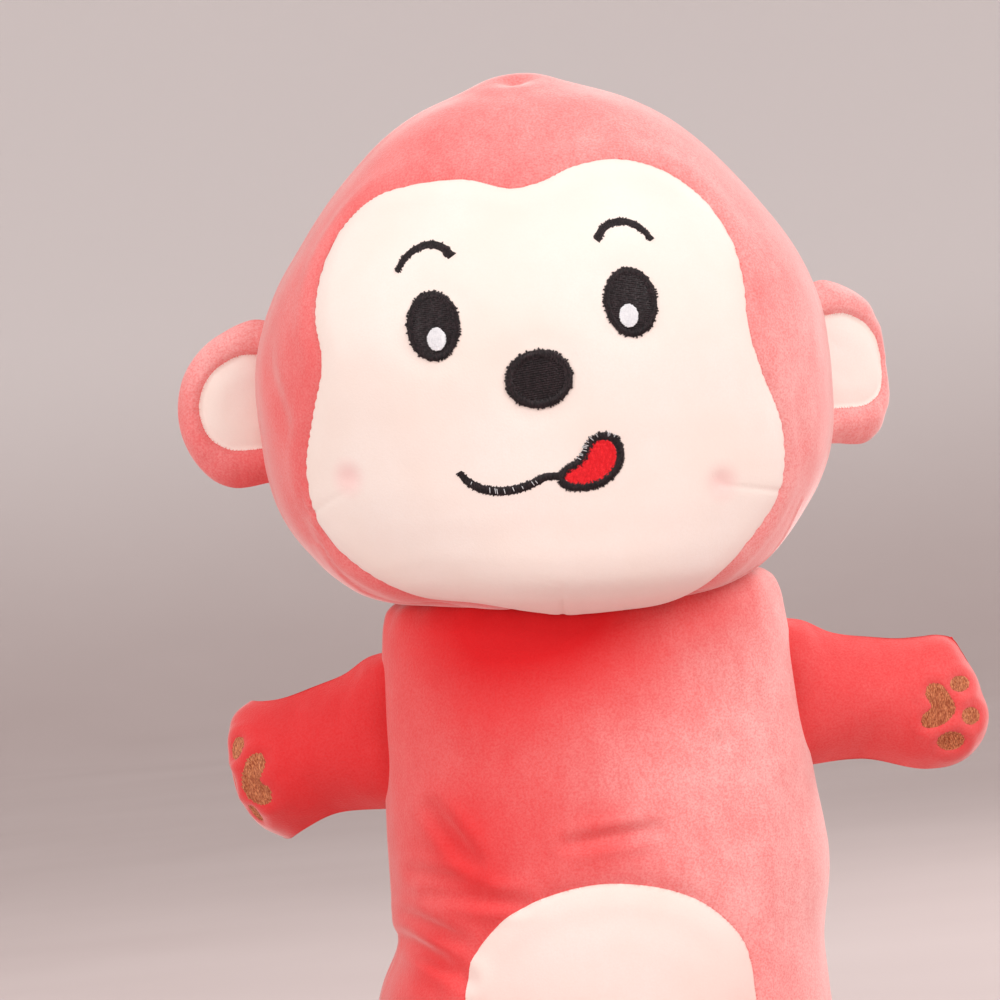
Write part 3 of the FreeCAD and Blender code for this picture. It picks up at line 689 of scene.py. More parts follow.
def build_head():
    surface = head_surface()
    field, way, gap = face_field(surface.place, ring(FACE_OUTLINE, 260))
    surface = surface.moved(head_relief(surface, field, way, gap))

    face, rest = split(surface, field)
    side_seam, _ = head_seams(rest.rest)
    crown, back = split(rest, side_seam)
    _, back_seam = head_seams(back.rest)
    left, right = split(back, back_seam)

    on_face = facing(face, NOSE)
    spots = [on_face(spot)[0] for spot in BLUSHES]
    skin("face_panel_skin", face, cream_plush("cream_plush.face", spots), "head", ["face_panel"])
    skin("head_front_skin", crown, head_coral_painted_light, "head", ["head_front_panel", "head_stuffing"])
    skin("head_back_left_skin", left, head_coral_painted_light, "head", ["head_back_left"])
    skin("head_back_right_skin", right, head_coral_painted_light, "head", ["head_back_right"])
    seam_fuzz("face_seam_fuzz", face, "head")
    return face


# hairs of pile on each mm of a cream panel's rim
FUZZ_PER_MM = 1.6


def border_edges(surface):
    """Edges on the rim of a panel, with the direction from the rim into the panel."""
    tri = surface.triangles
    edges = np.concatenate([tri[:, [0, 1]], tri[:, [1, 2]], tri[:, [2, 0]]])
    inner = np.concatenate([tri[:, 2], tri[:, 0], tri[:, 1]])
    _, first, count = np.unique(np.sort(edges, axis=1), axis=0, return_index=True, return_counts=True)
    rim = first[count == 1]
    a, b = surface.place[edges[rim, 0]], surface.place[edges[rim, 1]]
    along = b - a
    inward = surface.place[inner[rim]] - a
    along_unit = along / np.maximum(np.linalg.norm(along, axis=1), 1e-9)[:, None]
    inward -= along_unit * np.einsum("ij,ij->i", inward, along_unit)[:, None]
    inward /= np.maximum(np.linalg.norm(inward, axis=1), 1e-9)[:, None]
    normal = surface.normal[edges[rim, 0]]
    return a, along, inward, normal


def seam_fuzz(name, surface, body):
    """Coral pile that lies over the edge of a cream panel, as it does where plush is sewn to plush."""
    a, along, inward, normal = border_edges(surface)
    lengths = np.linalg.norm(along, axis=1)
    place, faces = [], []
    total = rng.rand()
    for start, edge, w, n, length in zip(a, along, inward, normal, lengths):
        total += length * FUZZ_PER_MM
        while total > 1:
            total -= 1
            t = edge / max(length, 1e-9)
            root = start + edge * rng.rand() - w * 0.35 + n * 0.25
            reach = 0.35 + 0.75 * rng.rand() ** 2
            tip = root + (w + t * rng.uniform(-0.9, 0.9)) * reach + n * rng.uniform(0.05, 0.35)
            k = len(place)
            place.extend([root - t * 0.09, root + t * 0.09, tip])
            faces.append((k, k + 1, k + 2))
    obj = make_object(name, np.array(place), np.array(faces), coral_painted_light)
    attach(obj, body)


# ---------------------------------------------------------------- embroidery

def grid_quads(first, rows, cols):
    """The faces of a grid whose points are numbered row by row from first."""
    corners = (first + i * cols + j for i in range(rows - 1) for j in range(cols - 1))
    return [(a, a + 1, a + 1 + cols, a + cols) for a in corners]


def even_strip(points, widths, steps):
    """Even places on an open line, the line's direction at each, and its width there."""
    even = curve(points, steps)
    width = np.interp(np.linspace(0, 1, steps), np.linspace(0, 1, len(widths)), widths)
    return even, np.gradient(even, axis=0), width


class Embroidery:
    """Single stitches laid on a surface: each is a small rounded thread that dives in at both ends."""

    ALONG = ((0.0, -0.25), (0.1, 0.45), (0.5, 1.0), (0.9, 0.45), (1.0, -0.25))
    ACROSS = ((-1.0, 0.0), (-0.55, 0.85), (0.55, 0.85), (1.0, 0.0))

    def __init__(self, to_surface, thickness=0.5, height=0.55):
        self.to_surface = to_surface
        self.half = thickness / 2
        self.height = height
        self.place = []
        self.faces = []

    def stitch(self, start, end, lift=0.0):
        start, end = np.array(start, float), np.array(end, float)
        span = end - start
        length = np.hypot(*span)
        if length < 0.2:
            return
        side = np.array([-span[1], span[0]]) / length * self.half
        first = len(self.place)
        for share, rise in self.ALONG:
            middle = start + span * share
            base, normal = self.to_surface(middle)
            edge, _ = self.to_surface(middle + side)
            sideways = (edge - base) * (0.45 if share in (0.0, 1.0) else 1.0)
            for across, up in self.ACROSS:
                self.place.append(base + sideways * across + normal * (up * rise * self.height + lift))
        self.faces += grid_quads(first, len(self.ALONG), len(self.ACROSS))

    def fill(self, outline, pitch, length, angle, lift=0.0, inset=0.0):
        """Rows of stitches across a closed outline, each row broken at another place."""
        turn = np.array([[math.cos(angle), -math.sin(angle)], [math.sin(angle), math.cos(angle)]])
        turned = outline @ turn
        low, high = turned[:, 1].min(), turned[:, 1].max()
        rows = int((high - low) / pitch)
        for i in range(rows):
            y = low + (i + 0.5) * (high - low) / rows
            nxt = np.roll(turned, -1, axis=0)
            hits = np.nonzero((turned[:, 1] > y) != (nxt[:, 1] > y))[0]
            share = (y - turned[hits, 1]) / (nxt[hits, 1] - turned[hits, 1])
            xs = np.sort(turned[hits, 0] + share * (nxt[hits, 0] - turned[hits, 0]))
            for a, b in zip(xs[::2], xs[1::2]):
                a += inset - rng.uniform(0, 0.25)
                b += -inset + rng.uniform(0, 0.25)
                cuts = [a]
                at = a + length * (0.35 + 0.65 * ((i * 0.382) % 1.0))
                while at < b - length * 0.3:
                    cuts.append(at)
                    at += length
                cuts.append(b)
                for p, q in zip(cuts, cuts[1:]):
                    wander = rng.uniform(-0.06, 0.06, 2)
                    ends = np.array([(p, y + wander[0]), (q, y + wander[1])]) @ turn.T
                    self.stitch(ends[0], ends[1], lift)

    def border(self, outline, width, pitch, lift=0.0, ragged=0.35, slant=0.12):
        """Satin stitches across a closed line."""
        steps = int(np.linalg.norm(np.roll(outline, -1, axis=0) - outline, axis=1).sum() / pitch)
        points = ring(outline[:: max(1, len(outline) // 60)], steps)
        tangent = np.roll(points, -1, axis=0) - np.roll(points, 1, axis=0)
        self.satin(points, tangent, np.full(steps, width), lift, ragged, slant)

    def line(self, points, widths, pitch, lift=0.0, ragged=0.3, slant=0.12):
        """Satin stitches across an open line whose width changes along it."""
        length = np.linalg.norm(np.diff(points, axis=0), axis=1).sum()
        self.satin(*even_strip(points, widths, int(length / pitch)), lift, ragged, slant)

    def satin(self, points, tangent, widths, lift, ragged, slant):
        tangent = tangent / np.linalg.norm(tangent, axis=1)[:, None]
        for p, t, w in zip(points, tangent, widths):
            normal = np.array([-t[1], t[0]])
            across = normal + t * (slant + rng.uniform(-0.1, 0.1))
            over = w / 2 + ragged * rng.rand(2) ** 2
            self.stitch(p - across * over[0], p + across * over[1], lift)

    def underlay(self, outline, lift=0.12):
        """Thread under the stitches, so that no cloth shows between them."""
        middle = outline.mean(0)
        points = outline[:: max(1, len(outline) // 48)]
        rings = 6
        first = len(self.place)
        count = len(points)
        for i in range(1, rings + 1):
            for p in points:
                base, normal = self.to_surface(middle + (p - middle) * (i / rings) * 0.97)
                self.place.append(base + normal * lift)
        for i in range(rings - 1):
            for j in range(count):
                a = first + i * count + j
                b = first + i * count + (j + 1) % count
                self.faces.append((a, b, b + count, a + count))
        base, normal = self.to_surface(middle)
        self.place.append(base + normal * lift)
        centre = len(self.place) - 1
        for j in range(count):
            self.faces.append((centre, first + (j + 1) % count, first + j))

    def ribbon_underlay(self, points, widths, lift=0.12):
        steps = 40
        even, tangent, width = even_strip(points, widths, steps)
        tangent /= np.linalg.norm(tangent, axis=1)[:, None]
        first = len(self.place)
        for p, t, w in zip(even, tangent, width * 0.9):
            for side in (-0.5, 0.0, 0.5):
                base, normal = self.to_surface(p + np.array([-t[1], t[0]]) * side * w)
                self.place.append(base + normal * lift)
        self.faces += grid_quads(first, steps, 3)

    def finish(self, name, material, body, replaced, move=None, mirrored=False):
        """One object from all the stitches; its slot has its material's name."""
        place = np.array(self.place)
        place = move(place) if move else place
        faces = [f[::-1] for f in self.faces] if mirrored else self.faces
        obj = make_object(name, place, faces, material)
        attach(obj, body)
        if replaced:
            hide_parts(*replaced)


def facing(surface, origin, right=(1, 0, 0), up=(0, 0, 1), away=(0, 1, 0), reach=60.0):
    """Puts plane coordinates on a surface, looking from origin - reach in the direction away."""
    tree = BVHTree.FromPolygons(surface.place.tolist(), surface.triangles.tolist())
    right, up, away = (np.array(axis, float) for axis in (right, up, away))

    def to_surface(point):
        start = origin + right * point[0] + up * point[1] - away * reach
        hit, normal, _, _ = tree.ray_cast(Vector(start), Vector(away))
        if hit is None:
            hit, normal, _, _ = tree.find_nearest(Vector(start + away * reach))
        normal = np.array(normal)
        return np.array(hit), -normal if normal @ away > 0 else normal

    return to_surface


def ellipse_outline(half_width, half_height, centre=(0.0, 0.0), turn=0.0, count=96):
    angle = np.linspace(0, 2 * math.pi, count, endpoint=False)
    points = np.stack([half_width * np.cos(angle), half_height * np.sin(angle)], 1)
    c, s = math.cos(turn), math.sin(turn)
    return points @ np.array([[c, s], [-s, c]]) + np.array(centre)


# from one stitch of a satin border to the next
SATIN_PITCH = 0.46


def embroider_nose(on_face):
    nose_half = (nose_high - nose_low) / 2
    outline = ellipse_outline(nose_half[0], nose_half[2], turn=math.radians(4.5))
    work = Embroidery(on_face, thickness=0.6, height=0.7)
    work.underlay(outline)
    work.fill(outline, 0.74, 3.4, math.radians(4.0), inset=1.8)
    work.border(outline * 0.885, 2.6, SATIN_PITCH, lift=0.35, ragged=0.8)
    work.finish("nose_threads", black_thread, "head", ["nose"])


def embroider_eye(on_face, side, lean):
    middle = eye_middle(side)
    low, high = box_mm(f"eye_{side}")
    half = (high - low) / 2
    centre = np.array([middle[0], middle[2]])
    outline = ellipse_outline(half[0], half[2], centre, turn=math.radians(lean))
    work = Embroidery(on_face, thickness=0.55, height=0.6)
    work.underlay(outline)
    work.fill(outline, 0.66, 3.6, 0.0, inset=1.4)
    work.border((outline - centre) * 0.9 + centre, 2.1, SATIN_PITCH, lift=0.25, ragged=0.8)
    work.finish(f"eye_{side}_threads", black_thread, "head", [f"eye_{side}"])

    low, high = box_mm(f"eye_highlight_{side}")
    half = (high - low) / 2
    middle = (low + high) / 2 - NOSE
    glint = ellipse_outline(half[0], half[2], (middle[0], middle[2]))
    work = Embroidery(on_face, thickness=0.55, height=0.6)
    work.underlay(glint, lift=0.6)
    work.fill(glint, 0.42, 20.0, math.radians(4.0), lift=0.55)
    work.finish(f"eye_{side}_glint_threads", white_thread, "head", [f"eye_highlight_{side}"])


def embroider_brow(on_face, side):
    line = np.array(BROWS[side])
    widths = (1.7, 2.3, 2.8, 3.1) if side == "left" else (2.9, 2.7, 2.3, 1.9)
    work = Embroidery(on_face)
    work.ribbon_underlay(line, widths)
    work.line(line, widths, SATIN_PITCH, ragged=0.6)
    work.finish(f"brow_{side}_threads", black_thread, "head", [f"brow_{side}"])


def embroider_mouth(on_face):
    mouth = np.array(MOUTH_LINE)
    tongue = ring(TONGUE_OUTLINE, 120)
    work = Embroidery(on_face)
    widths = (2.0, 2.7, 2.9, 3.0, 3.0, 2.9, 2.8, 2.6, 2.5)
    work.ribbon_underlay(mouth, widths)
    work.line(mouth, widths, SATIN_PITCH, ragged=0.5)
    closed = np.concatenate([tongue, tongue[:1]])
    work.ribbon_underlay(closed[::6], (2.4, 2.4))
    work.border(tongue, 2.7, SATIN_PITCH, lift=0.1, ragged=0.7, slant=0.25)
    work.finish("mouth_threads", black_thread, "head", ["mouth"])

    middle = tongue.mean(0)
    inner = middle + (tongue - middle) * 0.88
    work = Embroidery(on_face)
    work.underlay(inner)
    work.fill(inner, 0.55, 2.6, math.radians(28.0))
    work.finish("tongue_threads", red_thread, "head", ["tongue"])

    # a few ends of the bobbin thread show between the stitches
    work = Embroidery(on_face, thickness=0.2, height=0.3)
    for line, low, high, count, shift in ((curve(mouth, 60), 6, 54, 9, 0.0), (tongue, 68, 100, 16, 1.0)):
        for i in rng.randint(low, high, count):
            tangent = (line[i + 1] - line[i - 1]) / np.linalg.norm(line[i + 1] - line[i - 1])
            across = np.array([tangent[1], -tangent[0]]) + tangent * 0.2
            middle = line[i] + across * (shift + rng.uniform(-0.3, 0.3))
            half = rng.uniform(0.4, 1.0)
            work.stitch(middle - across * half, middle + across * half, 0.5)
    work.finish("mouth_bobbin_threads", white_thread, "head", [])


def build_face_embroidery(face):
    on_face = facing(face, NOSE)
    embroider_nose(on_face)
    for side, lean in (("left", -1.0), ("right", 3.0)):
        embroider_eye(on_face, side, lean)
        embroider_brow(on_face, side)
    embroider_mouth(on_face)


# ---------------------------------------------------------------- torso

# height, half width, half depth
TORSO_PROFILE = [
    (0.0, 0.0, 0.0), (0.0, 40.0, 28.0), (0.3, 58.0, 42.0), (4.0, 70.0, 51.0), (14.0, 77.0, 55.5),
    (34.0, 79.9, 57.4), (60.0, 79.2, 57.0), (80.0, 77.8, 55.8), (100.0, 76.3, 54.4), (125.0, 74.8, 52.8),
    (150.0, 73.0, 51.4), (168.0, 72.1, 50.5), (180.0, 71.0, 50.0), (190.0, 70.0, 49.0), (197.0, 69.0, 47.0),
    (201.0, 67.4, 45.4), (203.6, 64.4, 44.1),
]
# the angle where the body ends, at 204.8 mm, and the dome starts, over the neck's middle at 180 mm
DOME_FROM = math.asin((204.8 - 180.0) / NECK_DEPTH)
# half of the belly patch's outline from its top, from the patch's middle
BELLY_OUTLINE = [
    (0, 43.2), (14, 41.6), (24.5, 38.6), (34, 33.8), (42, 26.5), (47.3, 18.5), (49.4, 8), (49.6, -3),
    (48, -15), (43, -27), (33, -37), (18, -42.5), (0, -44),
]
# folds of loose cloth on the front: from, to (x and height), depth, width
FOLDS = [
    ((-58.0, 133.0), (-45.5, 114.0), 1.9, 3.0),
    ((-66.0, 112.0), (-44.0, 106.0), 1.5, 2.4),
    ((-60.0, 104.6), (-30.0, 99.2), 1.9, 2.6),
    ((-70.0, 97.0), (-52.0, 88.0), 1.6, 2.4),
    ((-71.0, 89.0), (-50.5, 74.5), 2.1, 2.8),
    ((-13.0, 117.6), (18.0, 120.0), 1.6, 2.4),
    ((41.5, 146.8), (43.8, 147.9), 1.3, 2.8),
    ((-62.0, 189.2), (-13.0, 183.4), 0.6, 3.0),
    ((35.0, 170.5), (58.0, 151.5), 0.8, 6.0),
    ((67.5, 127.0), (59.0, 79.0), 1.0, 5.0),
    ((54.0, 112.0), (51.0, 86.0), 0.7, 5.0),
]


def belly_gap(place):
    """Signed distance to the belly patch's edge for places on the front, and the way to it."""
    low, high = box_mm("belly_panel")
    centre = np.array([(low[0] + high[0]) / 2, high[2] - BELLY_OUTLINE[0][1]])
    other_half = [(-x, z) for x, z in BELLY_OUTLINE[-2:0:-1]]
    patch_edge = ring(BELLY_OUTLINE + other_half, 220) + centre
    gap = np.full(len(place), 200.0)
    way = np.zeros((len(place), 2))
    front = place[:, 1] < 0
    gap[front], way[front] = outline_distance(place[front][:, [0, 2]], patch_edge)
    return gap, way


def torso_surface():
    cols = 360
    body = curve(TORSO_PROFILE, 250)[2:]
    rise = np.linspace(DOME_FROM, math.pi / 2, 50)[:-1]
    top = NECK[2]
    high, flat = np.sin(rise), np.cos(rise)
    dome = np.stack([top + NECK_DEPTH * high, NECK_WIDTH * flat, NECK_DEPTH * flat], 1)
    profile = np.concatenate([body, dome])
    angle = np.linspace(0, 2 * math.pi, cols, endpoint=False)
    square = 2 + 0.25 * smoothstep(profile[:, 0], 190, 120)
    grid = np.empty((len(profile), cols, 3))
    for i, power in enumerate(square):
        x, y = cross_section(angle, power)
        grid[i, :, 0] = profile[i, 1] * x
        grid[i, :, 1] = profile[i, 2] * y
        grid[i, :, 2] = profile[i, 0]
    surface = tube(grid)
    place = surface.place
    height, left = place[:, 2], smoothstep(-place[:, 0], 34, 72)
    below_neck = smoothstep(height, 200, 176) * smoothstep(height, 2, 14)
    loose = 0.9 * noise(place, 52.0, 5) + 0.4 * noise(place * np.array([1, 1, 1.6]), 21.0, 6)
    # the left hip swells below the waist, where the leg is sewn in
    hip = (4.6 * bump(height - 60, 17.0) - 2.6 * bump(height - 86, 8.0)) * left
    place = place + surface.normal * ((loose + hip) * below_neck)[:, None]
    place[:, 0] += 1.2 * bump(height - 100, 26.0)
    # the right side draws in above the leg
    drawn = smoothstep(-height, -110, -70) * smoothstep(height, 14, 46)
    place[:, 0] -= 6.5 * drawn * smoothstep(place[:, 0], 25, 76)
    return Surface(place, surface.triangles)


def build_torso():
    surface = torso_surface()
    place = surface.place
    gap, way = belly_gap(place)
    over = over_surface(surface, gap, way)
    above_floor = smoothstep(place[:, 2], 4, 14)

    shape = seam_groove(np.abs(over), place, 1.1, 1.6) * above_floor
    shape += np.where(gap < 0, 0.9 * smoothstep(-over, 0, 22), 0)
    sides = seam_groove(np.abs(place[:, 1]), place, 1.4, 2.4) * smoothstep(np.abs(place[:, 0]), 20, 40)
    back = np.where(place[:, 1] > 0, seam_groove(np.abs(place[:, 0]), place, 1.4, 2.4), 0)
    shape += (sides + back) * above_floor * smoothstep(place[:, 2], 206, 192)
    for start, end, depth, width in FOLDS:
        d, along = line_distance(place[:, [0, 2]], np.array([start, end]))
        fold = -depth * bump(d, width) + 0.5 * depth * bump(d - 1.9 * width, width)
        shape += np.where(place[:, 1] < 0, fold * np.sin(np.pi * np.clip(0.15 + 0.7 * along, 0, 1)), 0)
    # cloth gathered into the neck
    around = np.arctan2(place[:, 1], place[:, 0])
    gathers = np.sin(around * 26 + 2.5 * noise(place, 30.0, 9)) * bump(place[:, 2] - 201, 7.0)
    shape += 0.3 * gathers
    surface = surface.moved(shape)

    bottom, upper = split(surface, place[:, 2] - 3.0)
    belly, upper = split(upper, belly_gap(upper.rest)[0])
    front, back_panels = split(upper, upper.rest[:, 1])
    left, right = split(back_panels, back_panels.rest[:, 0])
    skin("seat_panel_skin", bottom, torso_coral_painted_light, "torso", ["seat_panel"])
    skin("belly_panel_skin", belly, cream, "torso", ["belly_panel"])
    skin("torso_front_skin", front, torso_coral_painted_light, "torso", ["torso_front_panel", "torso_stuffing"])
    skin("torso_back_left_skin", left, torso_coral_painted_light, "torso", ["torso_back_left"])
    skin("torso_back_right_skin", right, torso_coral_painted_light, "torso", ["torso_back_right"])
    seam_fuzz("belly_seam_fuzz", belly, "torso")
    return surface


# ---------------------------------------------------------------- sewn limbs

def patch(outline, corners, rows, cols):
    """A plane grid inside an outline that runs from the root's top round the tip to the root's bottom.

    Rows go from the root to the tip and columns from the top to the bottom; corners are the shares of
    the outline's length where its top ends and its bottom starts.
    """
    fine = curve(outline, 600)
    first, last = (int(600 * share) for share in corners)
    top = curve(fine[: first + 1], rows)
    tip = curve(fine[first : last + 1], cols)
    bottom = curve(fine[last:][::-1], rows)
    s = np.linspace(0, 1, rows)[:, None, None]
    t = np.linspace(0, 1, cols)[:, None]
    chord = tip[0] * (1 - t) + tip[-1] * t
    return top[:, None] * (1 - t) + bottom[:, None] * t + s * (tip - chord)


def refine(grid, times):
    """A finer grid by smooth interpolation along both directions."""
    for axis in (0, 1):
        grid = np.moveaxis(grid, axis, 0)
        s = np.arange(len(grid), dtype=float)
        fine = hermite(grid.reshape(len(grid), -1), s, np.linspace(0, s[-1], (len(grid) - 1) * times + 1))
        grid = np.moveaxis(fine.reshape(-1, *grid.shape[1:]), 0, axis)
    return grid


def inflate(place, faces, held, pressure, frames, growth):
    """Fill a sewn case with cloth simulation and give its corners' new places."""
    scale = 0.01
    mesh = bpy.data.meshes.new("case")
    mesh.from_pydata((place * scale).tolist(), [], faces.tolist())
    obj = bpy.data.objects.new("case", mesh)
    bpy.context.scene.collection.objects.link(obj)
    obj.vertex_groups.new(name="held").add([int(i) for i in np.nonzero(held)[0]], 1.0, "REPLACE")
    cloth = obj.modifiers.new("Cloth", "CLOTH")
    settings = cloth.settings
    settings.quality = 7
    settings.mass = 0.15
    settings.tension_stiffness = 18
    settings.compression_stiffness = 18
    settings.shear_stiffness = 8
    settings.bending_stiffness = 0.25
    settings.use_pressure = True
    settings.uniform_pressure_force = pressure
    settings.effector_weights.gravity = 0
    settings.vertex_group_mass = "held"
    settings.shrink_min = -growth
    cloth.collision_settings.use_collision = False
    cloth.point_cache.frame_start = 1
    cloth.point_cache.frame_end = frames
    scene = bpy.context.scene
    for f in range(1, frames + 1):
        scene.frame_set(f)
    result = obj.evaluated_get(bpy.context.evaluated_depsgraph_get()).data
    out = np.empty(len(result.vertices) * 3)
    result.vertices.foreach_get("co", out)
    scene.frame_set(1)
    bpy.data.objects.remove(obj)
    return out.reshape(-1, 3) / scale


class Pillow:
    """Two cloth panels with the same outline, sewn round everything but the root, and filled.

    Plane coordinates are the reach from the hinge and the height over it; depth grows to the back.
    Before it is filled, the case rises to the height half over a distance shoulder from its seam.
    """

    def __init__(self, outline, corners, half, shoulder, rows, cols):
        plane = patch(outline, corners, rows, cols)
        self.edge = curve(outline, 90)
        self.half = half
        gap, _ = line_distance(plane.reshape(-1, 2), self.edge)
        crown = half * np.sqrt(1 - (1 - np.clip(gap / shoulder, 0, 1)) ** 2)
        crown = crown.reshape(rows, cols)
        crown[:, 0] = crown[:, -1] = crown[-1, :] = 0
        reach, height = plane[..., 0], plane[..., 1]
        self.front, self.back = (np.stack([reach, crown * sign, height], -1) for sign in (-1, 1))

    def fill(self, pressure, frames, growth):
        """Inflate the case; its seam and its root are held, and the cloth is cut a little large."""
        rows, cols, _ = self.front.shape
        index = np.arange(rows * cols).reshape(rows, cols)
        sewn = np.zeros((rows, cols), bool)
        sewn[:, 0] = sewn[:, -1] = sewn[-1, :] = True
        back_index = index.copy()
        back_index[~sewn] = rows * cols + np.arange((~sewn).sum())
        place = np.concatenate([self.front.reshape(-1, 3), self.back[~sewn]])
        quads = []
        for grid in (index, back_index[:, ::-1]):
            corners = (grid[:-1, :-1], grid[:-1, 1:], grid[1:, 1:], grid[1:, :-1])
            quads.append(np.stack(corners, -1).reshape(-1, 4))
        held = np.zeros(len(place), bool)
        held[index[sewn]] = True
        held[index[0]] = held[back_index[0]] = True
        new = inflate(place * np.array([1, 0.6, 1]), np.concatenate(quads), held, pressure, frames, growth)
        for grid in (index, back_index):
            for _ in range(4):
                inner = new[grid]
                near = inner[:-2, 1:-1] + inner[2:, 1:-1] + inner[1:-1, :-2] + inner[1:-1, 2:]
                new[grid[1:-1, 1:-1]] = 0.4 * inner[1:-1, 1:-1] + 0.15 * near
        new[:, 1] *= self.half / np.abs(new[:, 1]).max()
        self.front, self.back = new[index], new[back_index]

    def surfaces(self, times=3):
        """The front and the back panel as fine surfaces with puckers along the seam."""
        for grid, away in ((self.front, -1), (self.back, 1)):
            fine = refine(grid, times)
            rows, cols, _ = fine.shape
            place = fine.reshape(-1, 3)
            triangles = grid_triangles(rows, cols, False)
            if vertex_normals(place, triangles)[:, 1].mean() * away < 0:
                triangles = triangles[:, ::-1]
            surface = Surface(place, triangles)
            gap, along = line_distance(place[:, [0, 2]], self.edge)
            ripple = np.stack([along * 160, gap * 0.3, place[:, 1] * 0.3], 1)
            puckers = noise(ripple, 4.5, 41 + away) * bump(gap - 4.0, 4.0) * smoothstep(gap, 0, 2)
            yield surface.moved(0.2 * puckers + 0.25 * noise(place, 16.0, 12))


def placer(side, hinge, turn, curl=0.0, curl_from=0.0, curl_to=1.0, slant=0.0, tall=1.0, droop=0.0):
    """Turns limb coordinates to the row frame: mirrored on the left, and turned back about the height.

    turn is the limb's angle in degrees; a paw curls back by a further angle from one reach to another,
    and slant makes the curl start later where the height is larger.  tall stretches the height, and
    droop is how far the paw hangs below the line of the arm.
    """
    sign = -1.0 if side == "left" else 1.0
    step = 0.25
    u = np.arange(-60.0, 120.0, step)
    angle = np.radians(turn + curl * smoothstep(u, curl_from, curl_to))
    zero = np.argmin(np.abs(u))
    run, back = (np.cumsum(f(angle)) * step for f in (np.cos, np.sin))

    def place(points):
        reach, depth, height = points[:, 0], points[:, 1], points[:, 2]
        late = slant * height
        at = reach - late
        bend = np.interp(at, u, angle)
        x = np.interp(at, u, run - run[zero]) + late * math.cos(angle[0]) - depth * np.sin(bend)
        y = np.interp(at, u, back - back[zero]) + late * math.sin(angle[0]) + depth * np.cos(bend)
        z = height * tall - droop * smoothstep(reach, 5, 35)
        return np.stack([hinge[0] + sign * x, hinge[1] + y, hinge[2] + z], 1)

    return place


def place_surface(surface, place, mirrored):
    triangles = surface.triangles[:, ::-1] if mirrored else surface.triangles
    return Surface(place(surface.place), triangles, None, surface.place)


def bent_skin(name, surface, material, replaced, start, end):
    """A sewn panel, baked into the row frame and not attached to a body, with its CAD parts hidden."""
    obj = make_object(name, surface.place, surface.triangles, material)
    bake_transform(obj)
    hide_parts(*replaced)


# an arm's outline from its root's top round the paw to its root's bottom: reach and height from the hinge
ARM_OUTLINE = [
    (-14.0, 26.0), (-7.1, 24.7), (2.9, 19.6), (16.5, 16.9), (26.9, 15.6), (33.5, 15.6), (40.2, 15.6),
    (45.0, 14.0), (48.6, 8.4), (51.5, 1.2), (53.8, -7.3), (54.8, -14.2), (53.2, -21.0), (47.2, -27.4),
    (40.0, -30.2), (32.9, -30.6), (9.1, -25.5), (-7.7, -25.3), (-14.0, -25.5),
]
# the left paw curls back and hangs a little
ARM_TURN = {
    "left": dict(turn=10.6, curl=61.5, curl_from=21.4, curl_to=39.2, slant=0.21, tall=1.06, droop=2.7),
    "right": dict(turn=2.0),
}
# the pad's outline about its middle, and the toes as reach, height, half width, half height
HEART = [
    (5.6, -2.2), (4.0, 3.4), (1.0, 7.3), (-2.5, 7.6), (-4.3, 4.4), (-2.8, -0.4), (-6.2, -3.4), (-6.2, -6.9),
    (-2.2, -7.6), (2.6, -5.8),
]
HAND_HEART = {"left": (28.9, -9.6), "right": (37.0, -8.7)}
# the curl stretches the plush under the left paw's pad, so its outline starts narrow
HAND_SQUEEZE = {"left": (0.55, 1.12), "right": (1.0, 1.0)}
HAND_TOES = {
    "left": [(33.6, 1.4, 2.0, 3.7), (37.2, -9.6, 2.0, 3.1), (31.6, -20.6, 1.9, 2.8)],
    "right": [(45.2, -2.2, 3.6, 2.8), (48.0, -13.6, 3.3, 3.1), (40.2, -21.5, 4.8, 3.3)],
}
# how the rows of thread lie on the paws
THREAD_LEAN = math.radians(72.0)


def dent(place, outlines):
    """How embroidery draws the plush in where it is stitched, and lets it puff round the stitches."""
    shape = np.zeros(len(place))
    for outline in outlines:
        gap, _ = outline_distance(place, outline)
        shape += -0.8 * smoothstep(-gap, -0.8, 1.2) + 0.55 * bump(gap - 2.6, 2.0)
    return shape


def pad_embroidery(name, pad, toes, to_surface, body, nodes, lean, move, mirrored=False):
    """The pad and the three toes of a paw or a sole."""
    for part, outlines, node in (("pad", [pad], nodes[0]), ("toe", toes, nodes[1])):
        work = Embroidery(to_surface, thickness=0.62, height=0.6)
        for outline in outlines:
            work.underlay(outline)
            work.fill(outline, 0.62, 7.0, lean)
        work.finish(f"{name}_{part}_threads", brown_thread, body, [node], move, mirrored)


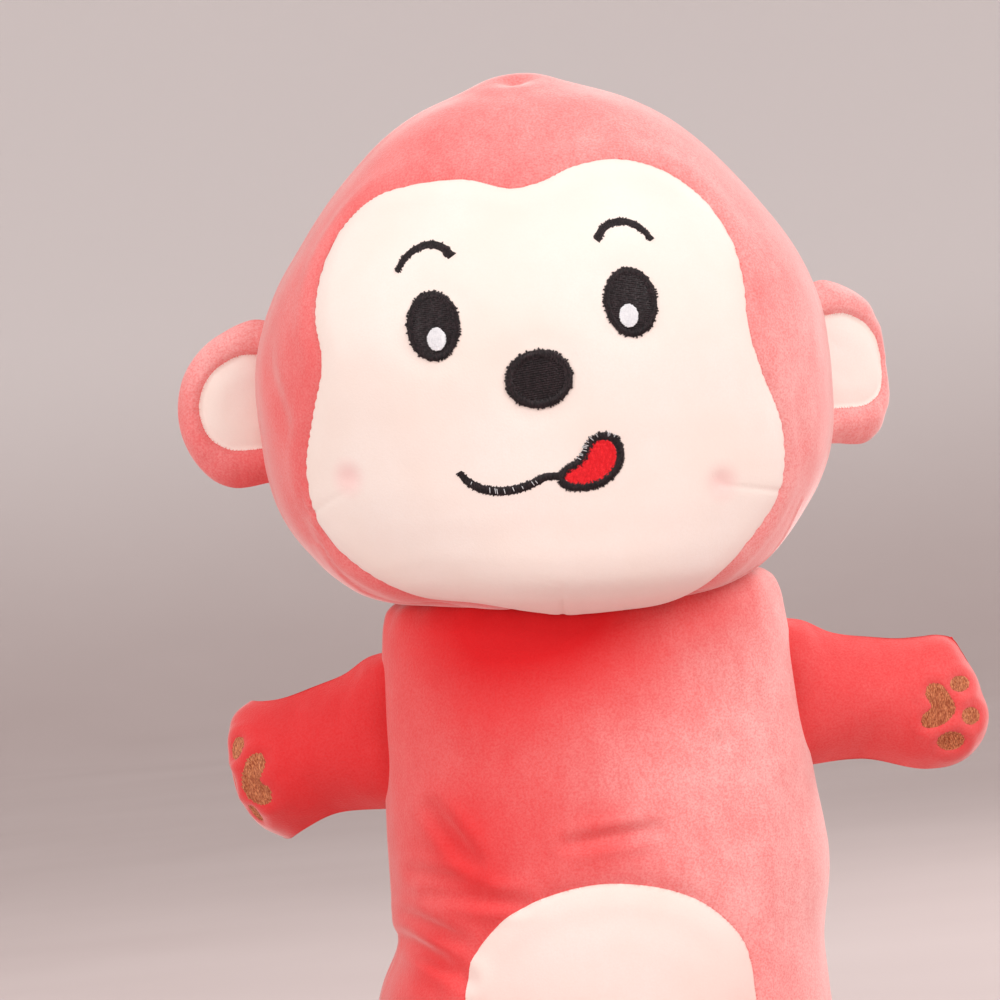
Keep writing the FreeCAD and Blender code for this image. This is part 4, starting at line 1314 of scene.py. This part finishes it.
def build_arms():
    case = Pillow(ARM_OUTLINE, corners=(0.36, 0.64), half=14.8, shoulder=19.0, rows=36, cols=26)
    case.fill(pressure=6.0, frames=20, growth=0.02)
    panels = list(case.surfaces())
    for side, sign in (("left", -1), ("right", 1)):
        hinge = hinge_mm(f"arm_{side}_swing")
        move = placer(side, hinge, **ARM_TURN[side])
        mirrored = side == "left"
        start = hinge + np.array([sign * -8.0, 0, 0])
        end = hinge + np.array([sign * 3.0, 0, 0])
        pad = ring(HEART, 90) * np.array(HAND_SQUEEZE[side]) + np.array(HAND_HEART[side])
        toes = [ellipse_outline(wide, high, (x, z), count=48) for x, z, wide, high in HAND_TOES[side]]
        for part, surface in zip(("front", "back"), panels):
            shape = 0.6 * noise(surface.place + 50.0 * sign, 24.0, 11)
            if part == "front":
                shape += dent(surface.place[:, [0, 2]], [pad, *toes])
            uneven = surface.moved(shape)
            replaced = [f"arm_{side}_{part}"] + ([f"arm_{side}_stuffing"] if part == "front" else [])
            placed = place_surface(uneven, move, mirrored)
            bent_skin(f"arm_{side}_{part}_skin", placed, coral_painted_light, replaced, start, end)
            if part == "front":
                on_paw = facing(uneven, np.zeros(3))
        nodes = (f"arm_{side}_pad", f"arm_{side}_toes")
        pad_embroidery(f"hand_{side}", pad, toes, on_paw, f"arm_{side}", nodes, THREAD_LEAN, move, mirrored)


# an ear's outline and its lining's, from top to bottom: reach and height
EAR_OUTLINE = [
    (-9.0, 28.0), (-4.0, 28.8), (1.3, 27.6), (6.8, 25.2), (12.3, 22.2), (18.0, 16.9), (22.1, 10.4),
    (24.3, 2.4), (24.7, -5.0), (23.1, -12.8), (19.7, -20.0), (14.5, -25.8), (7.8, -28.7), (2.0, -28.7),
    (-2.7, -28.0), (-9.0, -27.5),
]
LINING_OUTLINE = [
    (-14.0, 16.5), (-5.0, 16.9), (1.7, 17.1), (7.1, 15.3), (12.7, 11.8), (16.4, 6.3), (18.1, 0.5),
    (17.9, -4.0), (16.4, -8.8), (12.7, -13.2), (7.7, -15.7), (1.0, -16.2), (-5.0, -16.0), (-14.0, -15.7),
]
# how an ear is turned and curled back, and where its middle is from the hinge: x and height
EAR_TURN = {"left": dict(turn=6.0), "right": dict(turn=34.0, curl=40.0, curl_from=6.0, curl_to=22.0)}
EAR_SHIFT = {"left": (0.4, 4.4), "right": (-0.8, -0.5)}


def build_ears():
    case = Pillow(EAR_OUTLINE, corners=(0.3, 0.7), half=6.4, shoulder=9.0, rows=26, cols=34)
    case.fill(pressure=4.0, frames=18, growth=0.02)
    lining = curve(LINING_OUTLINE, 120)
    front, back = case.surfaces()
    gap, _ = outline_distance(front.place[:, [0, 2]], lining)
    ring_edge = 0.6 * seam_groove(np.abs(gap), front.place, 1.5, 1.2)
    hollow = ring_edge - 2.2 * smoothstep(-gap, -1.5, 1.5) + 0.9 * bump(gap - 4.5, 3.4)
    inner, outer = split(front.moved(hollow), gap)
    for side, sign in (("left", -1), ("right", 1)):
        hinge = hinge_mm(f"ear_{side}_fold")
        shift_x, rise = EAR_SHIFT[side]
        move = placer(side, hinge + np.array([shift_x, 0, rise]), **EAR_TURN[side])
        start = hinge + np.array([sign * -5.0, 0, 0])
        end = hinge + np.array([sign * 2.0, 0, 0])
        for piece_name, piece, material, replaced in (
            ("lining", inner, cream, [f"ear_{side}_lining"]),
            ("front", outer, ear_coral_painted_light, [f"ear_{side}_front", f"ear_{side}_stuffing"]),
            ("back", back, ear_coral_painted_light, [f"ear_{side}_back"]),
        ):
            placed = place_surface(piece, move, side == "left")
            bent_skin(f"ear_{side}_{piece_name}_skin", placed, material, replaced, start, end)
            if piece_name == "lining":
                seam_fuzz(f"ear_{side}_lining_fuzz", placed, f"ear_{side}")


# reach, height of the middle, half width, half thickness; heights are from the hinge
LEG_PROFILE = [
    (-17.0, 2.0, 22.0, 5.0), (-8.0, 1.0, 24.0, 7.0), (0.0, 0.5, 25.5, 10.0), (12.0, 1.0, 27.5, 17.0),
    (26.0, 2.6, 28.8, 22.5), (42.0, 4.0, 29.2, 26.6), (60.0, 4.6, 29.2, 28.2), (74.0, 5.0, 28.6, 28.2),
    (83.0, 5.2, 26.0, 25.6), (88.0, 5.4, 21.0, 20.6), (90.4, 5.5, 12.0, 12.0),
]
# the hands' heart turned to point up the sole
SOLE_HEART = [(b, a - 2.5) for a, b in HEART]
# sideways, height, half width, half height
SOLE_TOES = [(-9.5, 11.0, 3.0, 3.4), (0.0, 14.1, 3.2, 3.6), (9.5, 11.0, 3.0, 3.4)]
# how the rows of thread lie on the soles, and how far each leg points out to its side
SOLE_LEAN = math.radians(13.0)
LEG_SPLAY = math.radians(28.0)


def leg_surface(sign):
    """A leg in its own axes: out along the leg, across it, and up."""
    rows, cols = 130, 160
    profile = curve(LEG_PROFILE, rows)
    angle = np.linspace(0, 2 * math.pi, cols, endpoint=False)
    x, y = cross_section(angle, 2.1)
    grid = np.empty((rows, cols, 3))
    grid[..., 0] = profile[:, 0:1]
    grid[..., 1] = profile[:, 2:3] * x
    grid[..., 2] = profile[:, 3:4] * y + profile[:, 1:2]
    surface = tube(grid, close_start=False)
    local = surface.place
    seam = local[:, 2] + 14.0 * smoothstep(local[:, 0], 60, 84)
    shape = seam_groove(np.abs(seam), local + sign * 40, 1.3, 2.3) * smoothstep(local[:, 0], -12, 0)
    shape += 0.7 * noise(local + sign * 90, 30.0, 21) + 0.25 * noise(local, 11.0, 22)
    wrinkle = np.sin(local[:, 0] * 0.75 + 2.0 * noise(local, 16.0, 23)) * bump(local[:, 0] - 4, 13.0)
    surface = surface.moved(shape + 0.8 * wrinkle)
    surface.rest = local
    return surface, seam


def build_legs():
    pad = ring(SOLE_HEART, 90)
    toes = [ellipse_outline(wide, high, (x, z), count=48) for x, z, wide, high in SOLE_TOES]
    sole = np.array([90.0, 0.0, LEG_PROFILE[-1][1]])
    for side, sign in (("left", -1), ("right", 1)):
        hinge = hinge_mm(f"leg_{side}_lift")
        out = np.array([sign * math.sin(LEG_SPLAY), -math.cos(LEG_SPLAY), 0.0])
        across = np.array([sign * math.cos(LEG_SPLAY), math.sin(LEG_SPLAY), 0.0])
        axes = np.stack([out, across, [0.0, 0.0, 1.0]])
        surface, seam = leg_surface(sign)
        on_sole = surface.rest[:, [1, 2]] - sole[1:]
        stitched = np.where(surface.rest[:, 0] > 60, dent(on_sole, [pad, *toes]), 0)
        place = surface.place + surface.normal * stitched[:, None]
        # the leg rests flat on what it lies on
        place[:, 2] = np.maximum(place[:, 2], 0.15 - hinge[2])
        surface = Surface(place, surface.triangles, surface.normal, surface.rest)
        lower, upper = split(surface, seam)

        def move(points, axes=axes, hinge=hinge):
            return points @ axes + hinge

        leg = f"leg_{side}"
        mirrored = sign > 0
        start, end = hinge - out * 9, hinge + out * 4
        for part, panel, nodes in (
            ("upper", upper, [f"{leg}_upper", f"{leg}_stuffing"]),
            ("lower", lower, [f"{leg}_lower"]),
        ):
            placed = place_surface(panel, move, mirrored)
            bent_skin(f"{leg}_{part}_skin", placed, coral_painted_light, nodes, start, end)
        to_sole = facing(upper, sole, (0, 1, 0), (0, 0, 1), (-1, 0, 0))
        nodes = (f"{leg}_pad", f"{leg}_toes")
        pad_embroidery(f"foot_{side}", pad, toes, to_sole, leg, nodes, SOLE_LEAN, move, mirrored)


# ---------------------------------------------------------------- tail, label and closing stitches

# length from the hinge along the tail, radius
TAIL_RADII = [
    (-14.0, 6.0), (-5.0, 6.6), (0.0, 6.9), (14.0, 7.6), (30.0, 8.2), (44.0, 8.3), (51.0, 6.6), (54.6, 3.2),
]


def build_tail():
    rows, cols = 90, 60
    hinge = hinge_mm("tail_wag")
    bend_radius = 45.0
    profile = curve(TAIL_RADII, rows)
    angle = np.linspace(0, 2 * math.pi, cols, endpoint=False)[:, None]
    grid = np.empty((rows, cols, 3))
    for i, (length, radius) in enumerate(profile):
        turn = max(length, 0.0) / bend_radius
        along = np.array([0, math.cos(turn), math.sin(turn)])
        up = np.array([0, -math.sin(turn), math.cos(turn)])
        middle = hinge + np.array([0, bend_radius * math.sin(turn), bend_radius * (1 - math.cos(turn))])
        middle = middle + along * min(length, 0.0)
        grid[i] = middle + radius * (np.cos(angle) * np.array([1, 0, 0]) + np.sin(angle) * up)
    surface = outward(tube(grid, close_start=False), hinge + np.array([0, 20, 6]))
    place = surface.place
    seam = np.abs(place[:, 0]) + 30 * (place[:, 2] > hinge[2] + 0.42 * (place[:, 1] - hinge[1]))
    shape = seam_groove(seam, place, 0.9, 1.8) + 0.35 * noise(place, 12.0, 31)
    surface = surface.moved(shape)
    bent_skin(
        "tail_skin", surface, coral_painted_light, ["tail_cover", "tail_stuffing"],
        hinge - np.array([0, 9, 0]), hinge + np.array([0, 2, 0]),
    )


def build_label():
    """A blank folded ribbon in the left side seam."""
    low, high = box_mm("care_label")
    rows, cols = 24, 18
    width, height = high[0] - low[0], high[2] - low[2]
    place = []
    for layer in (-1, 1):
        for u in np.linspace(0, 1, rows):
            for v in np.linspace(0, 1, cols):
                x = high[0] + 3.0 - (width + 1.5) * u
                curl = 1.6 * math.sin(math.pi * u * 0.8) * (0.4 + 0.6 * v)
                gap = 0.35 * layer * math.sqrt(max(1 - (2 * u - 1) ** 2, 0))
                place.append((x, (low[1] + high[1]) / 2 + curl + gap, low[2] + height * v))
    faces = [quad[::-1] for quad in grid_quads(0, rows, cols)] + grid_quads(rows * cols, rows, cols)
    obj = make_object("care_label_ribbon", np.array(place), np.array(faces), label_satin())
    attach(obj, "torso")
    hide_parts("care_label")


def build_closing(torso):
    """The ladder of hand stitches that closes the back after stuffing."""
    low, high = box_mm("closing_stitches")
    on_back = facing(torso, np.zeros(3), away=(0, -1, 0), reach=120.0)
    work = Embroidery(on_back, thickness=0.7, height=0.8)
    half = (high[0] - low[0]) / 2
    count = 15
    for i in range(count):
        z = low[2] + (high[2] - low[2]) * (i + 0.5) / count
        wobble = rng.uniform(-0.3, 0.3)
        work.stitch((-half + wobble, z - 0.5), (half + wobble, z + 0.7))
    work.finish("closing_stitches_threads", coral_thread, "torso", ["closing_stitches"])


# ---------------------------------------------------------------- studio

def floor_material():
    """Matt paper, painted paler where it rises behind: painted light on the far wall, which the lamps light
    less than the floor.
    """
    n = Nodes("studio_paper")
    separate = n.add("ShaderNodeSeparateXYZ")
    n.link(n.place, separate.inputs[0])
    # painted light: paler as the paper rises
    rise = n.range(separate.outputs["Z"], 0.0, 0.5, smooth=True)
    floor = n.mix(n.range(n.noise(3.0), 0.3, 0.7), (0.52, 0.43, 0.42), (0.55, 0.46, 0.45))
    n.link(n.mix(rise, floor, (0.78, 0.715, 0.71)), n.shader.inputs["Base Color"])
    n.link(n.bump(n.noise(900.0), 0.05, 0.0003), n.shader.inputs["Normal"])
    n.set(Roughness=0.9)
    return n.material


def build_studio():
    """A round paper sweep: flat floor, rising far away on every side."""
    rows, cols = 40, 96
    flat, rise = 4500.0, 2500.0
    angle = np.linspace(0, 2 * math.pi, cols, endpoint=False)
    grid = np.empty((rows, cols, 3))
    for i in range(rows):
        u = i / (rows - 1)
        if u < 0.4:
            radius, height = 30.0 + flat * u / 0.4, 0.0
        else:
            turn = (u - 0.4) / 0.6 * math.pi / 2
            radius, height = 30.0 + flat + rise * math.sin(turn), rise * (1 - math.cos(turn)) * 1.6
        grid[i] = np.stack([radius * np.cos(angle), radius * np.sin(angle), np.full(cols, height)], 1)
    sweep = tube(grid, close_end=False)
    just_below = np.array([0, 0, -0.2])
    floor = make_object("studio_floor", sweep.place + just_below, sweep.triangles, floor_material())

    world = bpy.data.worlds.new("studio")
    bpy.context.scene.world = world
    world.use_nodes = True
    background = world.node_tree.nodes["Background"]
    background.inputs["Color"].default_value = (1.0, 0.97, 0.95, 1.0)
    background.inputs["Strength"].default_value = 0.88
    target = Vector((0.0, 0.0, 0.22))
    for name, at, size, power in (
        ("key", (1.35, -1.15, 1.35), 0.9, 21.0),
        ("fill", (-1.5, -1.2, 0.9), 1.2, 15.0),
        ("rim", (0.9, 1.2, 1.1), 0.8, 12.0),
    ):
        data = bpy.data.lights.new(name, "AREA")
        data.size = size
        data.energy = power
        data.color = (1.0, 0.98, 0.97)
        light = bpy.data.objects.new(name, data)
        light.location = at
        light.rotation_euler = (target - Vector(at)).to_track_quat("-Z", "Y").to_euler()
        bpy.context.scene.collection.objects.link(light)


def build_camera():
    """Level with the toy, rolled a little, and close in on the head and chest."""
    distance = 2200.0
    view_width = 340.0
    roll = math.radians(5.4)
    data = bpy.data.cameras.new("camera")
    data.sensor_width = 36.0
    data.lens = 36.0 * distance / view_width
    data.clip_end = 60.0
    camera = bpy.data.objects.new("camera", data)
    right = np.array([math.cos(roll), 0.0, -math.sin(roll)])
    up = np.array([math.sin(roll), 0.0, math.cos(roll)])
    # the nose is this far right of the middle of the view and above it
    nose_right, nose_above = 13.0, 40.4
    aim = NOSE + np.array([0.0, 40.0, 0.0]) - right * nose_right - up * nose_above
    back = np.array([0.0, -1.0, 0.0])
    camera.matrix_world = Matrix(
        [[right[k], up[k], back[k], (aim + back * distance)[k] * MM] for k in range(3)] + [[0, 0, 0, 1]]
    )
    bpy.context.scene.collection.objects.link(camera)
    bpy.context.scene.camera = camera


bpy.context.scene.view_settings.view_transform = "Standard"
build_camera()
build_studio()
face = build_head()
build_face_embroidery(face)
torso = build_torso()
build_ears()
build_arms()
build_legs()
build_tail()
build_label()
build_closing(torso)
